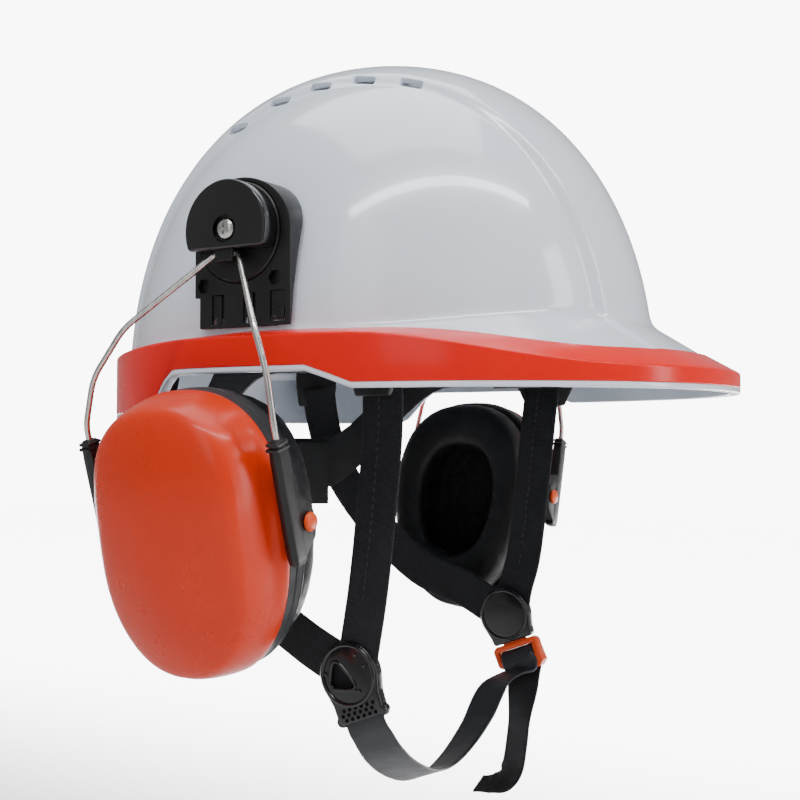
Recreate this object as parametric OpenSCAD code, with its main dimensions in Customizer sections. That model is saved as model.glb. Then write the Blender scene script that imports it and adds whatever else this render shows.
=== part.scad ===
// Forestry helmet with swing-out ear muffs and a four-point chin strap.
// The wearer faces -Y, the wearer's left is +X and +Z is up.
// The origin is the middle of the head opening, level with the shell's lower side edge.

/* [Shell] */
// Half width of the dome at its base
dome_half_w = 105; // [100:0.5:108]
// Half length of the dome at its base
dome_half_l = 118.4; // [114:0.2:122]
// Height of the crown above the side edge
dome_h = 144.5; // [138:0.5:150]
// Thickness of the moulded shell
shell_wall = 2.6; // [2:0.2:3.2]
// Height of the raised centre panel above the sides
ridge_rise = 2.6; // [1.5:0.1:3.5]
// Width of the sloped step beside the raised panel
ridge_step = 5.5; // [4:0.5:7]

/* [Brim] */
// Half width over the brim
brim_half_w = 112; // [110:0.5:116]
// Reach of the visor in front of the origin
visor_reach = 160; // [150:1:168]
// Reach of the brim behind the origin
rear_reach = 118; // [117:0.5:124]
// Height of the ear muff cut-outs in the brim
notch_h = 6.6; // [4:0.2:8]
// Drop of the rear brim below the side edge
rear_drop = 10; // [6:0.5:14]
// Thickness of the coloured brim band
band_wall = 1.5; // [1:0.1:2]

/* [Ear muff] */
// Height of the swing axis above the side edge
swing_z = 61; // [58:0.5:64]
// Distance of the muff's middle behind the swing axis
muff_back = 9.5; // [6:0.5:12]
// Inward lean of the lower wire legs
leg_lean = 17; // [14:0.5:20]
// Inward lean of the ear cups
cup_lean = 11; // [8:1:14]
// Radius of the spring wire
wire_r = 1.2; // [1:0.05:1.4]
// Half width of an ear cup
cup_half_w = 40.5; // [38:0.5:41]
// Half height of an ear cup
cup_half_h = 55; // [52:0.5:56]
// Depth of an ear cup shell
cup_depth = 28; // [24:0.5:32]
// Thickness of the cushion
cushion_t = 18; // [14:0.5:20]

/* [Straps] */
// Width of the chin strap webbing
strap_w = 18; // [15:1:20]
// Thickness of the webbing
strap_t = 1.4; // [1:0.1:1.8]
// Width of the crown webbing
crown_w = 20; // [18:1:24]

/* [Hidden] */

fit_gap = 0.08;          // radial clearance of a pin that turns in a bore
fine = 48;               // segments of a round part

// ---- shell figures
dome_y = -4;             // the dome's middle lies this far along Y
dome_power = 2.2;        // fullness of the dome's side profile
brim_front_power = 2.25; // squareness of the brim's plan outline before the origin
brim_rear_power = 2.1;   // and behind it
ridge_front_w = 26;      // half width of the raised panel at the visor
ridge_front_y = -117;
ridge_slope = 0.215;     // the panel widens by this much per millimetre rearwards
ridge_rear_w = 60;       // and then keeps this half width
visor_root_z = 31;       // height at which the visor leaves the dome
side_root_z = 25;
rear_root_z = 22;
side_crease_z = 22.5;    // top of the band's upright face at the sides
front_crease_z = 9;      // and at the visor's tip
lip_h = 2.2;             // white lip left under the band
notch_front = [-48, -38];  // the cut-out rises between these two Y values
notch_rear = [29, 49];     // and falls to the rear brim between these
vent_y = [-42, -22, -3, 15, 34];  // middles of the vent slots
vent_l = 11;
vent_h = 5;

// ---- ear muff figures, in the left muff's hanging frame
swing_x = 106;           // outer face of the adapter
adapter_half_w = 21;
adapter_bottom_z = 24.4;
rotor_out = 0.7;         // the rotor stands this far out of the adapter
rotor_r = 19.4;
cap_r = 19;
cap_t = 8.4;
cap_flat = 7.5;          // the cap's flat lies this far below the swing axis
socket_y = 17.6;         // a visor socket in front of the rotor and a moulded recess behind it
socket_z = 42.5;
socket_r = 2.5;
socket_l = 2.2;
bar_x = 111;             // cross bar of the wire, on which the arm flips
bar_drop = 9.2;
bar_mid = 1.8;           // the bar's middle lies this far behind the swing axis
bar_half = 5.8;
// Bends of the wire: outwards, middle along Y, half spread along Y, upwards
bend_out = [130.5, 5.2, 30.4, -37.5];
bend_mid = [132, 8.5, 41, -56.2];
bend_low = [131, muff_back, 44.3, -74.3];
leg_l = 50;
bend_round = 1.5;        // a bend is rounded this far to each side
holder_start = 5.6;      // the holder begins this far down the leg
holder_l = 47;
holder_w = 7;            // across the leg
holder_t = 5;            // along Y
pivot_along = 38.9;      // the cup's pivot, measured along the leg
pivot_in = 7.5;          // and inwards of it
button_r = 2.5;
button_head_r = 3.6;
cup_centre = -5;         // the cup's middle lies this far below its pivot
cup_taper = 0.1;         // the cup is wider at the top than at the bottom
ring_in = 5;             // the ring reaches this far inwards of the pivot
ring_out = 4;            // and this far outwards
cup_wall = 2.2;
opening_half_w = 19;
opening_half_h = 27.5;
egg_n = 40;

// ---- harness figures
head_a = 76;             // half axes of the headband
head_b = 98;
band_t = 1.8;
crown_rise = 84;         // crown of the webbing above the band
crown_base = 30;

function unit(v) = v / norm(v);
function spow(v, e) = sign(v) * pow(abs(v), e);
function ramp(v, a, b) = let (s = min(1, max(0, (v - a) / (b - a)))) s * s * (3 - 2 * s);
function mix(a, b, s) = a + (b - a) * s;

// A solid skinned over sections that all have the same number of points.
module skin(sections, closed = false) {
    m = len(sections[0]);
    n = len(sections);
    sides = [for (i = [0 : n - (closed ? 1 : 2)]) for (j = [0 : m - 1])
        let (a = i * m + j, b = i * m + (j + 1) % m, k = ((i + 1) % n) * m)
        let (c = k + (j + 1) % m, d = k + j)
        each [[a, c, b], [a, d, c]]];
    caps = closed ? [] : [[for (j = [0 : m - 1]) j], [for (j = [m - 1 : -1 : 0]) (n - 1) * m + j]];
    polyhedron([for (s = sections) each s], concat(sides, caps), convexity = 8);
}

function bend(p, i, s) =
    let (a = p[max(i - 1, 0)], b = p[i], c = p[i + 1], d = p[min(i + 2, len(p) - 1)])
    0.5 * (2 * b + (c - a) * s + (2 * a - 5 * b + 4 * c - d) * s * s + (3 * b - a - 3 * c + d) * s * s * s);
function smooth(p, n) = [for (i = [0 : len(p) - 2]) for (k = [0 : n - 1]) bend(p, i, k / n), p[len(p) - 1]];
function along(p, i) = unit(p[min(i + 1, len(p) - 1)] - p[max(i - 1, 0)]);

// Flat webbing along a path; its width runs along first at the start and along last at the end.
module webbing(path, first, last, w, t) {
    n = len(path) - 1;
    skin([for (i = [0 : n])
        let (d = along(path, i), a = mix(first, last, i / n), u = unit(a - (a * d) * d))
        let (across = u * w / 2, up = cross(d, u) * t / 2)
        [path[i] - across - up, path[i] + across - up, path[i] + across + up, path[i] - across + up]]);
}

module side(s) {
    if (s > 0) children();
    else mirror([1, 0, 0]) children();
}

// ---------------------------------------------------------------- shell
function dome_k(z) = pow(max(0, 1 - pow(max(z, 0) / dome_h, dome_power)), 1 / dome_power);
function ridge_w(y) = min(ridge_rear_w, ridge_front_w + ridge_slope * (y - ridge_front_y));

// Angle from the front (way = -1) or the back (way = 1) at which a ring meets the panel's edge.
function edge_angle(k, way, extra, y, turns = 6) =
    let (a = asin(min(1, (ridge_w(y) + extra) / (dome_half_w * max(k, 0.01)))))
    turns == 0 ? a : edge_angle(k, way, extra, dome_y + way * dome_half_l * k * cos(a), turns - 1);

centre_steps = 3;
side_steps = 13;
// One quarter of a ring's angles, from the middle of the front or back to the side.
function quarter(k, way) =
    let (a = edge_angle(k, way, 0, way * 60))
    let (b = max(a + 1.5, edge_angle(k, way, ridge_step, way * 60)))
    let (c = min(a, 84), d = min(b, 87))
    concat([for (i = [0 : centre_steps]) c * i / centre_steps],
        [for (i = [0 : side_steps - 1]) d + (90 - d) * i / side_steps]);
// All angles of a ring, turning from the front through the left side to the back and on.
function ring_angles(k) =
    let (f = quarter(k, -1), r = quarter(k, 1), n = len(f))
    concat(f, [90], [for (i = [n - 1 : -1 : 0]) 180 - r[i]], [for (i = [1 : n - 1]) 180 + r[i]], [270],
        [for (i = [n - 1 : -1 : 1]) 360 - f[i]]);

function rise_at(x, y) = ridge_rise * (1 - ramp(abs(x), ridge_w(y), ridge_w(y) + ridge_step));
function dome_point(a, z, inset) =
    let (k = dome_k(z), x = dome_half_w * k * sin(a), y = dome_y - dome_half_l * k * cos(a))
    let (s = (rise_at(x, y) - inset) / dome_h)
    [x * (1 + s), dome_y + (y - dome_y) * (1 + s), z * (1 + s)];
function dome_ring(z, inset) = [for (a = ring_angles(dome_k(z))) dome_point(a, z, inset)];

base_angles = ring_angles(dome_k(side_root_z));
function brim_xy(a, inset) =
    let (rear = abs(a - 180) < 90, l = rear ? rear_reach : visor_reach)
    let (e = 2 / (rear ? brim_rear_power : brim_front_power))
    [(brim_half_w - inset) * spow(sin(a), e), -(l - inset) * spow(cos(a), e)];
function front_part(y) = ramp(-y, 50, 145);
function crease_z(y) = mix(side_crease_z, front_crease_z, front_part(y)) - 4 * ramp(y, 20, 110);
function root_z(a) =
    let (c = cos(a))
    c > 0 ? mix(side_root_z, visor_root_z, ramp(c, 0.3, 0.95)) : mix(side_root_z, rear_root_z, -c);
function bottom_z(y) = notch_h * ramp(y, notch_front[0], notch_front[1])
    - (notch_h + rear_drop) * ramp(y, notch_rear[0], notch_rear[1]);
function at(p, z) = [p.x, p.y, z];
function brim_height(kind, y) =
    kind == "bottom" ? bottom_z(y)
    : kind == "lip" ? bottom_z(y) + lip_h
    : kind == "under" ? crease_z(y) - shell_wall
    : crease_z(y);
function brim_ring(inset, kind) = [for (a = base_angles)
    at(brim_xy(a, inset), brim_height(kind, brim_xy(a, 0).y))];

rings = 11;
function ring_z(i) = dome_h * sin(mix(asin(side_root_z / dome_h) + 4, 88.6, i / rings));

module shell_body() {
    outer = [for (i = [0 : rings]) dome_ring(ring_z(i), 0)];
    inner = [for (i = [rings : -1 : 0]) dome_ring(ring_z(i), shell_wall)];
    root_out = [for (a = base_angles) let (p = dome_point(a, root_z(a), 0)) p];
    root_in = [for (a = base_angles) let (p = dome_point(a, root_z(a), shell_wall)) at(p, p.z - 1.5)];
    skin(concat(inner, [root_in, brim_ring(band_wall + shell_wall, "under"),
        brim_ring(band_wall + shell_wall, "bottom"), brim_ring(0.1, "bottom"), brim_ring(0.1, "lip"),
        brim_ring(band_wall, "lip"), brim_ring(band_wall, "crease"), root_out], outer));
}

module vent_cut(y) {
    x = ridge_w(y) + ridge_step / 2;
    k = sqrt(pow(x / dome_half_w, 2) + pow((y - dome_y) / dome_half_l, 2));
    z = dome_h * pow(1 - pow(k, dome_power), 1 / dome_power);
    for (s = [-1, 1]) translate([s * x, y, z]) rotate([0, s * 42, 0])
        cube([vent_h, vent_l, 14], center = true);
}

module shell() {
    color("white") difference() {
        shell_body();
        for (y = vent_y) vent_cut(y);
    }
}

// The band wraps the brim's edge and, on the visor, covers its outer margin.
module brim_band() {
    sections = [for (a = base_angles)
        let (p = brim_xy(a, 0), q = brim_xy(a, band_wall - 0.05), r = dome_point(a, root_z(a), 0))
        let (s = mix(0.9, 0.33, front_part(p.y)))
        let (c = crease_z(p.y), low = bottom_z(p.y) + lip_h + 0.05)
        let (e = mix(at(q, c), r, s))
        [at(p, low), at(p, c + 0.9), at(e, e.z + 1.1), at(e, e.z + 0.1), at(q, c + 0.1), at(q, low)]];
    color("orangered") skin([for (s = sections) [for (i = [5 : -1 : 0]) s[i]]], closed = true);
}

// ---------------------------------------------------------------- side adapters
adapter_back = [[swing_x, 22], [105.4, 22.5], [103.6, 38], [101.2, 50], [98.3, 61], [94.5, 72], [91, 80.5],
    [89.6, 84], [swing_x, 84]];

module adapter() {
    difference() {
        intersection() {
            translate([80, 0, 0]) rotate([90, 0, 90]) linear_extrude(40) union() {
                translate([0, swing_z]) circle(adapter_half_w, $fn = 64);
                translate([-adapter_half_w, 40]) square([2 * adapter_half_w, swing_z - 40]);
                translate([-adapter_half_w, adapter_bottom_z])
                    square([2 * adapter_half_w - 2, 41 - adapter_bottom_z]);
            }
            rotate([90, 0, 0]) linear_extrude(60, center = true) polygon(adapter_back);
        }
        translate([swing_x - 2.8, 0, swing_z]) rotate([0, 90, 0])
            cylinder(r = rotor_r + 0.3, h = 10, $fn = 64);
        translate([80, 0, swing_z]) rotate([0, 90, 0]) cylinder(r = 2 + fit_gap, h = 40, $fn = 32);
        translate([swing_x - socket_l, -socket_y, socket_z]) rotate([0, 90, 0])
            cylinder(r = socket_r, h = 20, $fn = 32);
        translate([swing_x - socket_l, socket_y, socket_z]) rotate([0, 90, 0])
            cylinder(r = socket_r, h = 20, $fn = 6);
        for (y = [7.6, -7.4]) translate([swing_x - 1.6, y, 27]) cube([6, 4, 9]);
        translate([swing_x - 2.4, -adapter_half_w + 3, 28]) cube([6, 6, 9]);
    }
}

module adapter_left() color("#1b1c1e") adapter();
module adapter_right() color("#1b1c1e") side(-1) adapter();

module screw() {
    head = swing_x + rotor_out + cap_t - 1.9;
    translate([0, 0, swing_z]) rotate([0, 90, 0]) difference() {
        union() {
            translate([0, 0, 100]) cylinder(r = 2, h = head - 99.5, $fn = 32);
            translate([0, 0, head]) cylinder(r1 = 4.2, r2 = 2.6, h = 2.4, $fn = fine);
        }
        for (a = [0, 90]) rotate(a) translate([-0.5, -2, head + 1.2]) cube([1, 4, 3]);
    }
}
module adapter_screws() color("silver") for (s = [-1, 1]) side(s) screw();

// ---------------------------------------------------------------- swinging arms
module hang() translate([0, 0, swing_z]) children();

module rotor() hang() difference() {
    union() {
        translate([swing_x - 2.5, 0, 0]) rotate([0, 90, 0])
            cylinder(r = rotor_r, h = 2.5 + rotor_out, $fn = 64);
        translate([swing_x + 0.5, bar_mid - 4.2, -12]) cube([6.4, 8.4, 8]);
    }
    translate([90, 0, 0]) rotate([0, 90, 0]) cylinder(r = 2 + fit_gap, h = 40, $fn = 32);
    translate([bar_x, -20, -bar_drop]) rotate([-90, 0, 0])
        cylinder(r = wire_r + fit_gap, h = 40, $fn = 32);
}
module rotor_left() color("#1b1c1e") rotor();
module rotor_right() color("#1b1c1e") side(-1) rotor();

// A round plate along +Z with one side cut flat.
module cap_shape(r, h, flat) linear_extrude(h) difference() {
    circle(r, $fn = 64);
    translate([flat, -r - 1]) square([r, 2 * r + 2]);
}

module pivot_cap() hang() translate([swing_x + rotor_out, 0, 0]) rotate([0, 90, 0]) difference() {
    union() {
        cap_shape(cap_r, cap_t - 1.2, cap_flat);
        cap_shape(cap_r - 1.2, cap_t, cap_flat - 0.6);
    }
    translate([0, 0, -1]) cylinder(r = 2 + fit_gap, h = 20, $fn = 32);
    translate([0, 0, cap_t - 2]) cylinder(r = 5.2, h = 4, $fn = fine);
    translate([3.6, bar_mid - 4.6, -1]) cube([10, 9.2, cap_t - 0.9]);
}
module pivot_cap_left() color("#141516") pivot_cap();
module pivot_cap_right() color("#141516") side(-1) pivot_cap();

// A bend's place on the rear wire (s = 1) or the front wire (s = -1).
function wire_at(b, s) = [b[0], b[1] + s * b[2], b[3]];
leg_dir = [-sin(leg_lean), 0, -cos(leg_lean)];
leg_in = [-cos(leg_lean), 0, sin(leg_lean)];

// The wire runs down from the bar on one side; each bend is rounded over a few points.
function wire_side(s) =
    let (bar = [bar_x, bar_mid, bar_half, -bar_drop], leg_end = wire_at(bend_low, s) + leg_dir * leg_l)
    let (p = [wire_at(bar, 0), for (b = [bar, bend_out, bend_mid, bend_low]) wire_at(b, s), leg_end])
    [for (i = [1 : 4]) each round_bend(p[i - 1], p[i], p[i + 1]), leg_end];
function round_bend(a, b, c) =
    let (u = unit(a - b) * bend_round, v = unit(c - b) * bend_round)
    [for (t = [0 : 0.25 : 1]) b + u * (1 - t) * (1 - t) + v * t * t];
function wire_ring(path, i) =
    let (d = along(path, i), u = unit([1, 0, 0] - d.x * d), v = cross(d, u))
    [for (a = [0 : 22.5 : 337.5]) path[i] + wire_r * (u * cos(a) + v * sin(a))];

module wire_arm() hang() {
    front = wire_side(-1);
    path = concat([for (i = [len(front) - 1 : -1 : 0]) front[i]], wire_side(1));
    skin([for (i = [0 : len(path) - 1]) wire_ring(path, i)]);
}
module wire_arm_left() color("silver") wire_arm();
module wire_arm_right() color("silver") side(-1) wire_arm();

// A holder slides on its wire leg and carries the cup's pivot pin in an inner lug.
module holder(s) hang() translate(wire_at(bend_low, s)) rotate([0, leg_lean, 0]) difference() {
    union() {
        translate([-holder_w / 2, -holder_t / 2, -holder_start - holder_l])
            cube([holder_w, holder_t, holder_l]);
        translate([-4.3, -2.8, -holder_start - 3]) cube([8.6, 5.6, 2]);
        translate([-pivot_in, 0, -pivot_along]) rotate([90, 0, 0])
            cylinder(r = 5.2, h = holder_t, center = true, $fn = fine);
        translate([-pivot_in, -holder_t / 2, -pivot_along - 5.2]) cube([pivot_in, holder_t, 10.4]);
    }
    translate([0, 0, -holder_start - holder_l + 1.5]) cylinder(r = wire_r + fit_gap, h = 80, $fn = 32);
    translate([-pivot_in, 0, -pivot_along]) rotate([90, 0, 0])
        cylinder(r = button_r + fit_gap, h = 20, center = true, $fn = fine);
}
module front_holder_left() color("#141516") holder(-1);
module front_holder_right() color("#141516") side(-1) holder(-1);
module rear_holder_left() color("#141516") holder(1);
module rear_holder_right() color("#141516") side(-1) holder(1);

// ---------------------------------------------------------------- ear cups
pivot = wire_at(bend_low, 0) + leg_dir * pivot_along + leg_in * pivot_in;
module cup_frame() hang() translate(pivot) rotate([0, cup_lean, 0]) children();

// Egg outline of a cup, wider at the top, inset by some distance.
function egg(inset, depth, w = cup_half_w, h = cup_half_h) = [for (i = [0 : egg_n - 1])
    let (a = 360 * i / egg_n, y = (w - inset) * spow(cos(a), 0.86) * (1 + cup_taper * sin(a)))
    [depth, y, cup_centre + (h - inset) * spow(sin(a), 0.86)]];
function flat_egg(inset, w, h) = [for (p = egg(inset, 0, w, h)) [p.y, p.z]];

// Depth and inset of the cup's outer wall, from the ring to the middle of the face.
cup_profile = [[0, 0], [8, 0.7], [16, 2.4], [22, 5.4], [26, 10.2], [27.6, 16.5], [28, 26], [28, 36.5]];
module ear_cup() cup_frame() {
    k = cup_depth / 28;
    outer = [for (q = cup_profile) egg(q[1], ring_out + 0.1 + q[0] * k)];
    inner = [for (i = [len(cup_profile) - 2 : -1 : 0]) let (q = cup_profile[i])
        egg(q[1] + cup_wall, ring_out + 0.1 + max(0, q[0] * k - (i > 2 ? cup_wall : i * 0.5)))];
    skin(concat(inner, outer));
}
module ear_cup_left() color("#e0501a") ear_cup();
module ear_cup_right() color("#e0501a") side(-1) ear_cup();

module slab(from, to) translate([from, 0, 0]) rotate([90, 0, 90]) linear_extrude(to - from) children();

module cup_ring() cup_frame() difference() {
    slab(-ring_in, ring_out) difference() {
        polygon(flat_egg(0.4, cup_half_w, cup_half_h));
        polygon(flat_egg(8, cup_half_w, cup_half_h));
    }
    rotate([90, 0, 0]) cylinder(r = button_r + fit_gap, h = 100, center = true, $fn = fine);
}
module cup_ring_left() color("#202226") cup_ring();
module cup_ring_right() color("#202226") side(-1) cup_ring();

// The cushion narrows towards the head, where its edge is rounded.
module cushion() cup_frame() {
    from = -ring_in - 0.1;
    for (layer = [[0, 0.5, 1.8], [0.5, 0.8, 3], [0.8, 1, 5]])
        slab(from - layer[1] * cushion_t, from - layer[0] * cushion_t) difference() {
            polygon(flat_egg(layer[2], cup_half_w, cup_half_h));
            polygon(flat_egg(0, opening_half_w, opening_half_h));
        }
}
module cushion_left() color("#101113") cushion();
module cushion_right() color("#101113") side(-1) cushion();

module foam_insert() cup_frame() slab(-ring_in + 1, ring_out + 12)
    polygon(flat_egg(9.2, cup_half_w, cup_half_h));
module foam_insert_left() color("#2c2d30") foam_insert();
module foam_insert_right() color("#2c2d30") side(-1) foam_insert();

// Each button is a pin through the holder's lug with a domed head outside.
module pivot_buttons() cup_frame() for (s = [-1, 1]) {
    inner = cup_half_w - 6;
    outer = bend_low[2] + holder_t / 2 + 0.3;
    rotate([-90 * s, 0, 0]) {
        translate([0, 0, inner]) cylinder(r = button_r, h = outer - inner + 1, $fn = fine);
        translate([0, 0, outer]) cylinder(r1 = button_head_r, r2 = button_head_r - 0.8, h = 1.8, $fn = fine);
    }
}
module pivot_buttons_left() color("#f26a1b") pivot_buttons();
module pivot_buttons_right() color("#f26a1b") side(-1) pivot_buttons();

// ---------------------------------------------------------------- headband and cradle
// A point round the head: a is the angle from the front, off the distance outside the headband's line.
function round_head(a, off) = [(head_a + off) * sin(a), -(head_b + off) * cos(a)];
function band_mid(a) = mix(23, -31, ramp(abs(a), 92, 134));
function band_half(a) = mix(15, 13, ramp(abs(a), 90, 120));
function band_section(a, off, t, mid, half) =
    [at(round_head(a, off), mid - half), at(round_head(a, off + t), mid - half),
        at(round_head(a, off + t), mid + half), at(round_head(a, off), mid + half)];

module headband() color("#17181a")
    skin([for (a = [-148 : 4 : 148]) band_section(a, 0, band_t, band_mid(a), band_half(a))]);
module sweatband() color("#26272a")
    skin([for (a = [-76 : 4 : 76]) band_section(a, -4.2, 4, 22, 16)]);

// One crown strap over the head; turn is its direction in plan, lift keeps crossing straps apart.
module crown_strap(turn, lift) {
    reach = oval(head_a, head_b, turn) + 3.4;
    dir = [cos(turn), sin(turn), 0];
    path = [for (a = [0 : 9 : 180])
        let (r = spow(cos(a), 0.85) * reach, z = crown_base + crown_rise * pow(sin(a), 0.9))
        dir * r + [0, 0, z + lift]];
    across = [-sin(turn), cos(turn), 0];
    webbing(path, across, across, crown_w, 1.2);
}
crown_turns = [90, 33, -33];
module crown_strap_long() color("#1c1d20") crown_strap(crown_turns[0], 0);
module crown_strap_left() color("#1c1d20") crown_strap(crown_turns[1], 1.6);
module crown_strap_right() color("#1c1d20") crown_strap(crown_turns[2], 3.2);

// Distance from the origin to an ellipse in the direction turn.
function oval(a, b, turn) = a * b / sqrt(pow(b * cos(turn), 2) + pow(a * sin(turn), 2));
clip_z = 35;
clip_k = dome_k(clip_z) * (1 - shell_wall / dome_h);
// Each clip holds a strap's end outside the headband and keys into the shell.
module hanger_clips() color("#17181a") for (turn = crown_turns) for (way = [turn, turn + 180]) rotate(way) {
    hook = oval(head_a, head_b, turn) + 4.4;
    wall = oval(dome_half_w * clip_k, dome_half_l * clip_k, turn) + dome_y * sin(way) + 0.3;
    translate([hook, -crown_w / 2 - 1, 26]) cube([2.4, crown_w + 2, 16]);
    translate([hook + 2.3, -4, clip_z]) cube([wall - hook - 2.3, 8, 3]);
}

// ---------------------------------------------------------------- chin harness
strap_x = 74;
disc_left = [strap_x - 2.5, -29.5, -104.5];
disc_right = [strap_x - 2.5, -29.5, -110.5];   // measured in the mirrored left frame
disc_r = 13.2;
disc_t = 5;
disc_skin = 0.9;         // thickness of a divider's two faces
tail_turn = -21;         // a divider's tail leans forwards by this angle
layer = strap_t / 2 + 0.1;   // the two straps lie on each other inside a divider
// Routes of the two straps above a divider whose middle is d.
function front_path(d) = [[strap_x + 5.5, -47, 14], [strap_x + 2, -46.5, 0], [strap_x, -45, -20],
    [strap_x - 0.5, -42, -48], [strap_x - 1, -38.5, -75], [d.x + layer, d.y - 5, d.z + 14],
    [d.x + layer, d.y - 3, d.z + 3]];
function rear_path(d) = [[60.5, 74, 8], [64.5, 74, -8], [68, 71, -24], [70.5, 61, -44], [70.5, 42, -65],
    [70.5, 18, -84], [d.x - layer, d.y + 24, d.z + 12], [d.x - layer, d.y + 8, d.z + 4]];

module front_strap(d) webbing(smooth(front_path(d), 3), [0, 1, 0], [0, 1, 0], strap_w, strap_t);
module front_strap_left() color("#1d1e22") front_strap(disc_left);
module front_strap_right() color("#1d1e22") side(-1) front_strap(disc_right);

// The rear strap stands on edge under the ear and lies against the nape above.
module rear_strap(d) {
    path = smooth(rear_path(d), 3);
    n = len(path);
    skin([for (i = [0 : n - 1])
        let (d = along(path, i), out = unit([1, 0.25 * (1 - i / n), 0]), u = unit(cross(d, out)))
        let (up = cross(u, d) * strap_t / 2, across = u * strap_w / 2)
        [path[i] - across - up, path[i] + across - up, path[i] + across + up, path[i] - across + up]]);
}
module rear_strap_left() color("#1d1e22") rear_strap(disc_left);
module rear_strap_right() color("#1d1e22") side(-1) rear_strap(disc_right);

// Anchors hold the straps' upper ends: upright plates, wide above and narrow below.
module anchor_plate(top, low) {
    rotate([90, 0, 90]) linear_extrude(2.2)
        polygon([[-low / 2, -6], [low / 2, -6], [top / 2, 4], [top / 2, 15], [-top / 2, 15], [-top / 2, 4]]);
}
module front_anchors() color("#17181a") for (s = [-1, 1]) side(s)
    translate([strap_x + 7.4, -46.5, 4]) rotate([0, 0, 18]) anchor_plate(28, 19);
module rear_anchors() color("#17181a") for (s = [-1, 1]) side(s)
    translate([64.3, 77.5, 5]) rotate([0, 0, 52]) anchor_plate(22, 19);

// Its frame is turned so that X runs along the tail's width and -Y down the tail.
module divider_frame(d) translate(d) rotate([tail_turn, 0, 0]) rotate([90, 0, 90]) children();

// A divider is a flat box that grips the front and rear straps and ends in a tail.
module divider(d, tail) {
    room = disc_t / 2 - disc_skin;
    divider_frame(d) difference() {
        translate([0, 0, -disc_t / 2]) linear_extrude(disc_t) union() {
            circle(disc_r, $fn = 64);
            polygon([[-12.6, -4], [-10.6, -tail], [10.6, -tail], [12.6, -4]]);
        }
        translate([0, 0, -room]) linear_extrude(2 * room) union() {
            circle(disc_r - 1.6, $fn = 64);
            for (way = [29, -43]) rotate(way) translate([-strap_w / 2 - 0.4, 0])
                square([strap_w + 0.8, 2 * disc_r]);
        }
        translate([0, 0, room - 1]) linear_extrude(5) polygon([[-6, -5.5], [6, -5.5], [2, 6.5], [-2, 6.5]]);
        children();
    }
}
// The left divider's tail is the socket of the buckle, the right one's clamps the webbing.
socket_tail = 13.4;
clamp_tail = 18;
tongue = [12, 6, 2.4];
module divider_left() color("#141517") divider(disc_left, socket_tail)
    translate([-tongue.x / 2 - 0.4, -socket_tail - 1, -tongue.z / 2 - 0.3])
        cube([tongue.x + 0.8, tongue.y + 3, tongue.z + 0.6]);
module divider_right() color("#141517") side(-1) divider(disc_right, clamp_tail) {
    translate([-strap_w / 2 - 0.3, -clamp_tail - 1, -strap_t / 2 - 0.2])
        cube([strap_w + 0.6, clamp_tail + 1 - 12.4, strap_t + 0.4]);
    for (r = [0 : 2]) for (c = [-2.5 : 2.5]) translate([c * 2.8 + (r % 2) * 1, -12.9 - r * 1.9, 1.3])
        cylinder(r = 0.7, h = 4, $fn = 16);
}

// Where the chin strap leaves the right divider, and where the buckle's frame begins.
tail_dir = [0, sin(tail_turn), -cos(tail_turn)];
strap_gap = 0.8;
chin_right = [-disc_right.x, disc_right.y, disc_right.z] + tail_dir * (clamp_tail + strap_gap);
buckle_gap = 0.5;
buckle = disc_left + tail_dir * (socket_tail + buckle_gap);
buckle_l = 11;
buckle_bar = 3;
chin_left = buckle + tail_dir * (buckle_l - buckle_bar - 1.6) + [-1.2, 0, 0];
chin_path = [chin_right, chin_right + tail_dir * 6 + [1.5, 0, 0], [-63, -38.5, -141], [-50, -36, -149],
    [-32, -32, -157], [-12, -28, -163.5], [9, -25.5, -166], [28, -25, -162], [44, -27, -151.5],
    [57, -30, -137], chin_left];
strap_edge = [0, 1, tan(tail_turn)];
module chin_strap() color("#1d1e22") webbing(smooth(chin_path, 4), strap_edge, strap_edge, strap_w, strap_t);

// The buckle is a tongue that clicks into the left divider, on a frame that holds the webbing.
module buckle_plug() color("#f26a1b") divider_frame(disc_left) translate([0, -socket_tail - buckle_gap, 0])
    difference() {
        union() {
            translate([-12, -buckle_l, -2.5]) cube([24, buckle_l, 5]);
            translate([-tongue.x / 2, -1, -tongue.z / 2]) cube([tongue.x, tongue.y + 1, tongue.z]);
        }
        translate([-9.4, buckle_bar - buckle_l, -4]) cube([18.8, buckle_l - 2 * buckle_bar, 8]);
    }

tail_start = chin_left + [2.4, 0, 0];
tail_path = [tail_start, tail_start + [-0.5, -0.5, -8], [67, -39.5, -141], [64.8, -39, -154],
    [63.3, -38.2, -167], [62.4, -36, -176.5], [61.4, -30, -182], [60.2, -22, -182.8]];
module strap_tail() color("#1d1e22")
    webbing(smooth(tail_path, 4), strap_edge, [0.55, 0.83, 0], strap_w, strap_t);

// ---------------------------------------------------------------- nape adjuster
knob_shaft_r = 3;
module nape_strip(off, t, half, span) {
    skin([for (a = [180 - span : 4 : 180 + span])
        let (p = round_head(a, off), q = round_head(a, off + t))
        [at(p, -36 - half), at(q, -36 - half), at(q, -36 + half), at(p, -36 + half)]]);
}
module nape_band() color("#121315") nape_strip(-3.4, 2, 16, 48);
module nape_pad() color("#26272a") nape_strip(-8, 4.4, 12, 28);
module ratchet_cover() color("#17181a") translate([0, 97.2, -36]) rotate([-90, 0, 0]) difference() {
    cylinder(r = 17, h = 8, $fn = 64);
    translate([0, 0, 1.6]) cylinder(r = 14.4, h = 5.2, $fn = 64);
    cylinder(r = knob_shaft_r + fit_gap, h = 20, $fn = 32);
}
module ratchet_pinion() color("#c9cbd0") translate([0, 97.2, -36]) rotate([-90, 0, 0])
    translate([0, 0, 2]) {
        cylinder(r = 5, h = 4, $fn = 32);
        for (a = [0 : 36 : 324]) rotate(a) translate([4.6, -0.9, 0]) cube([2, 1.8, 4]);
    }
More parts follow.
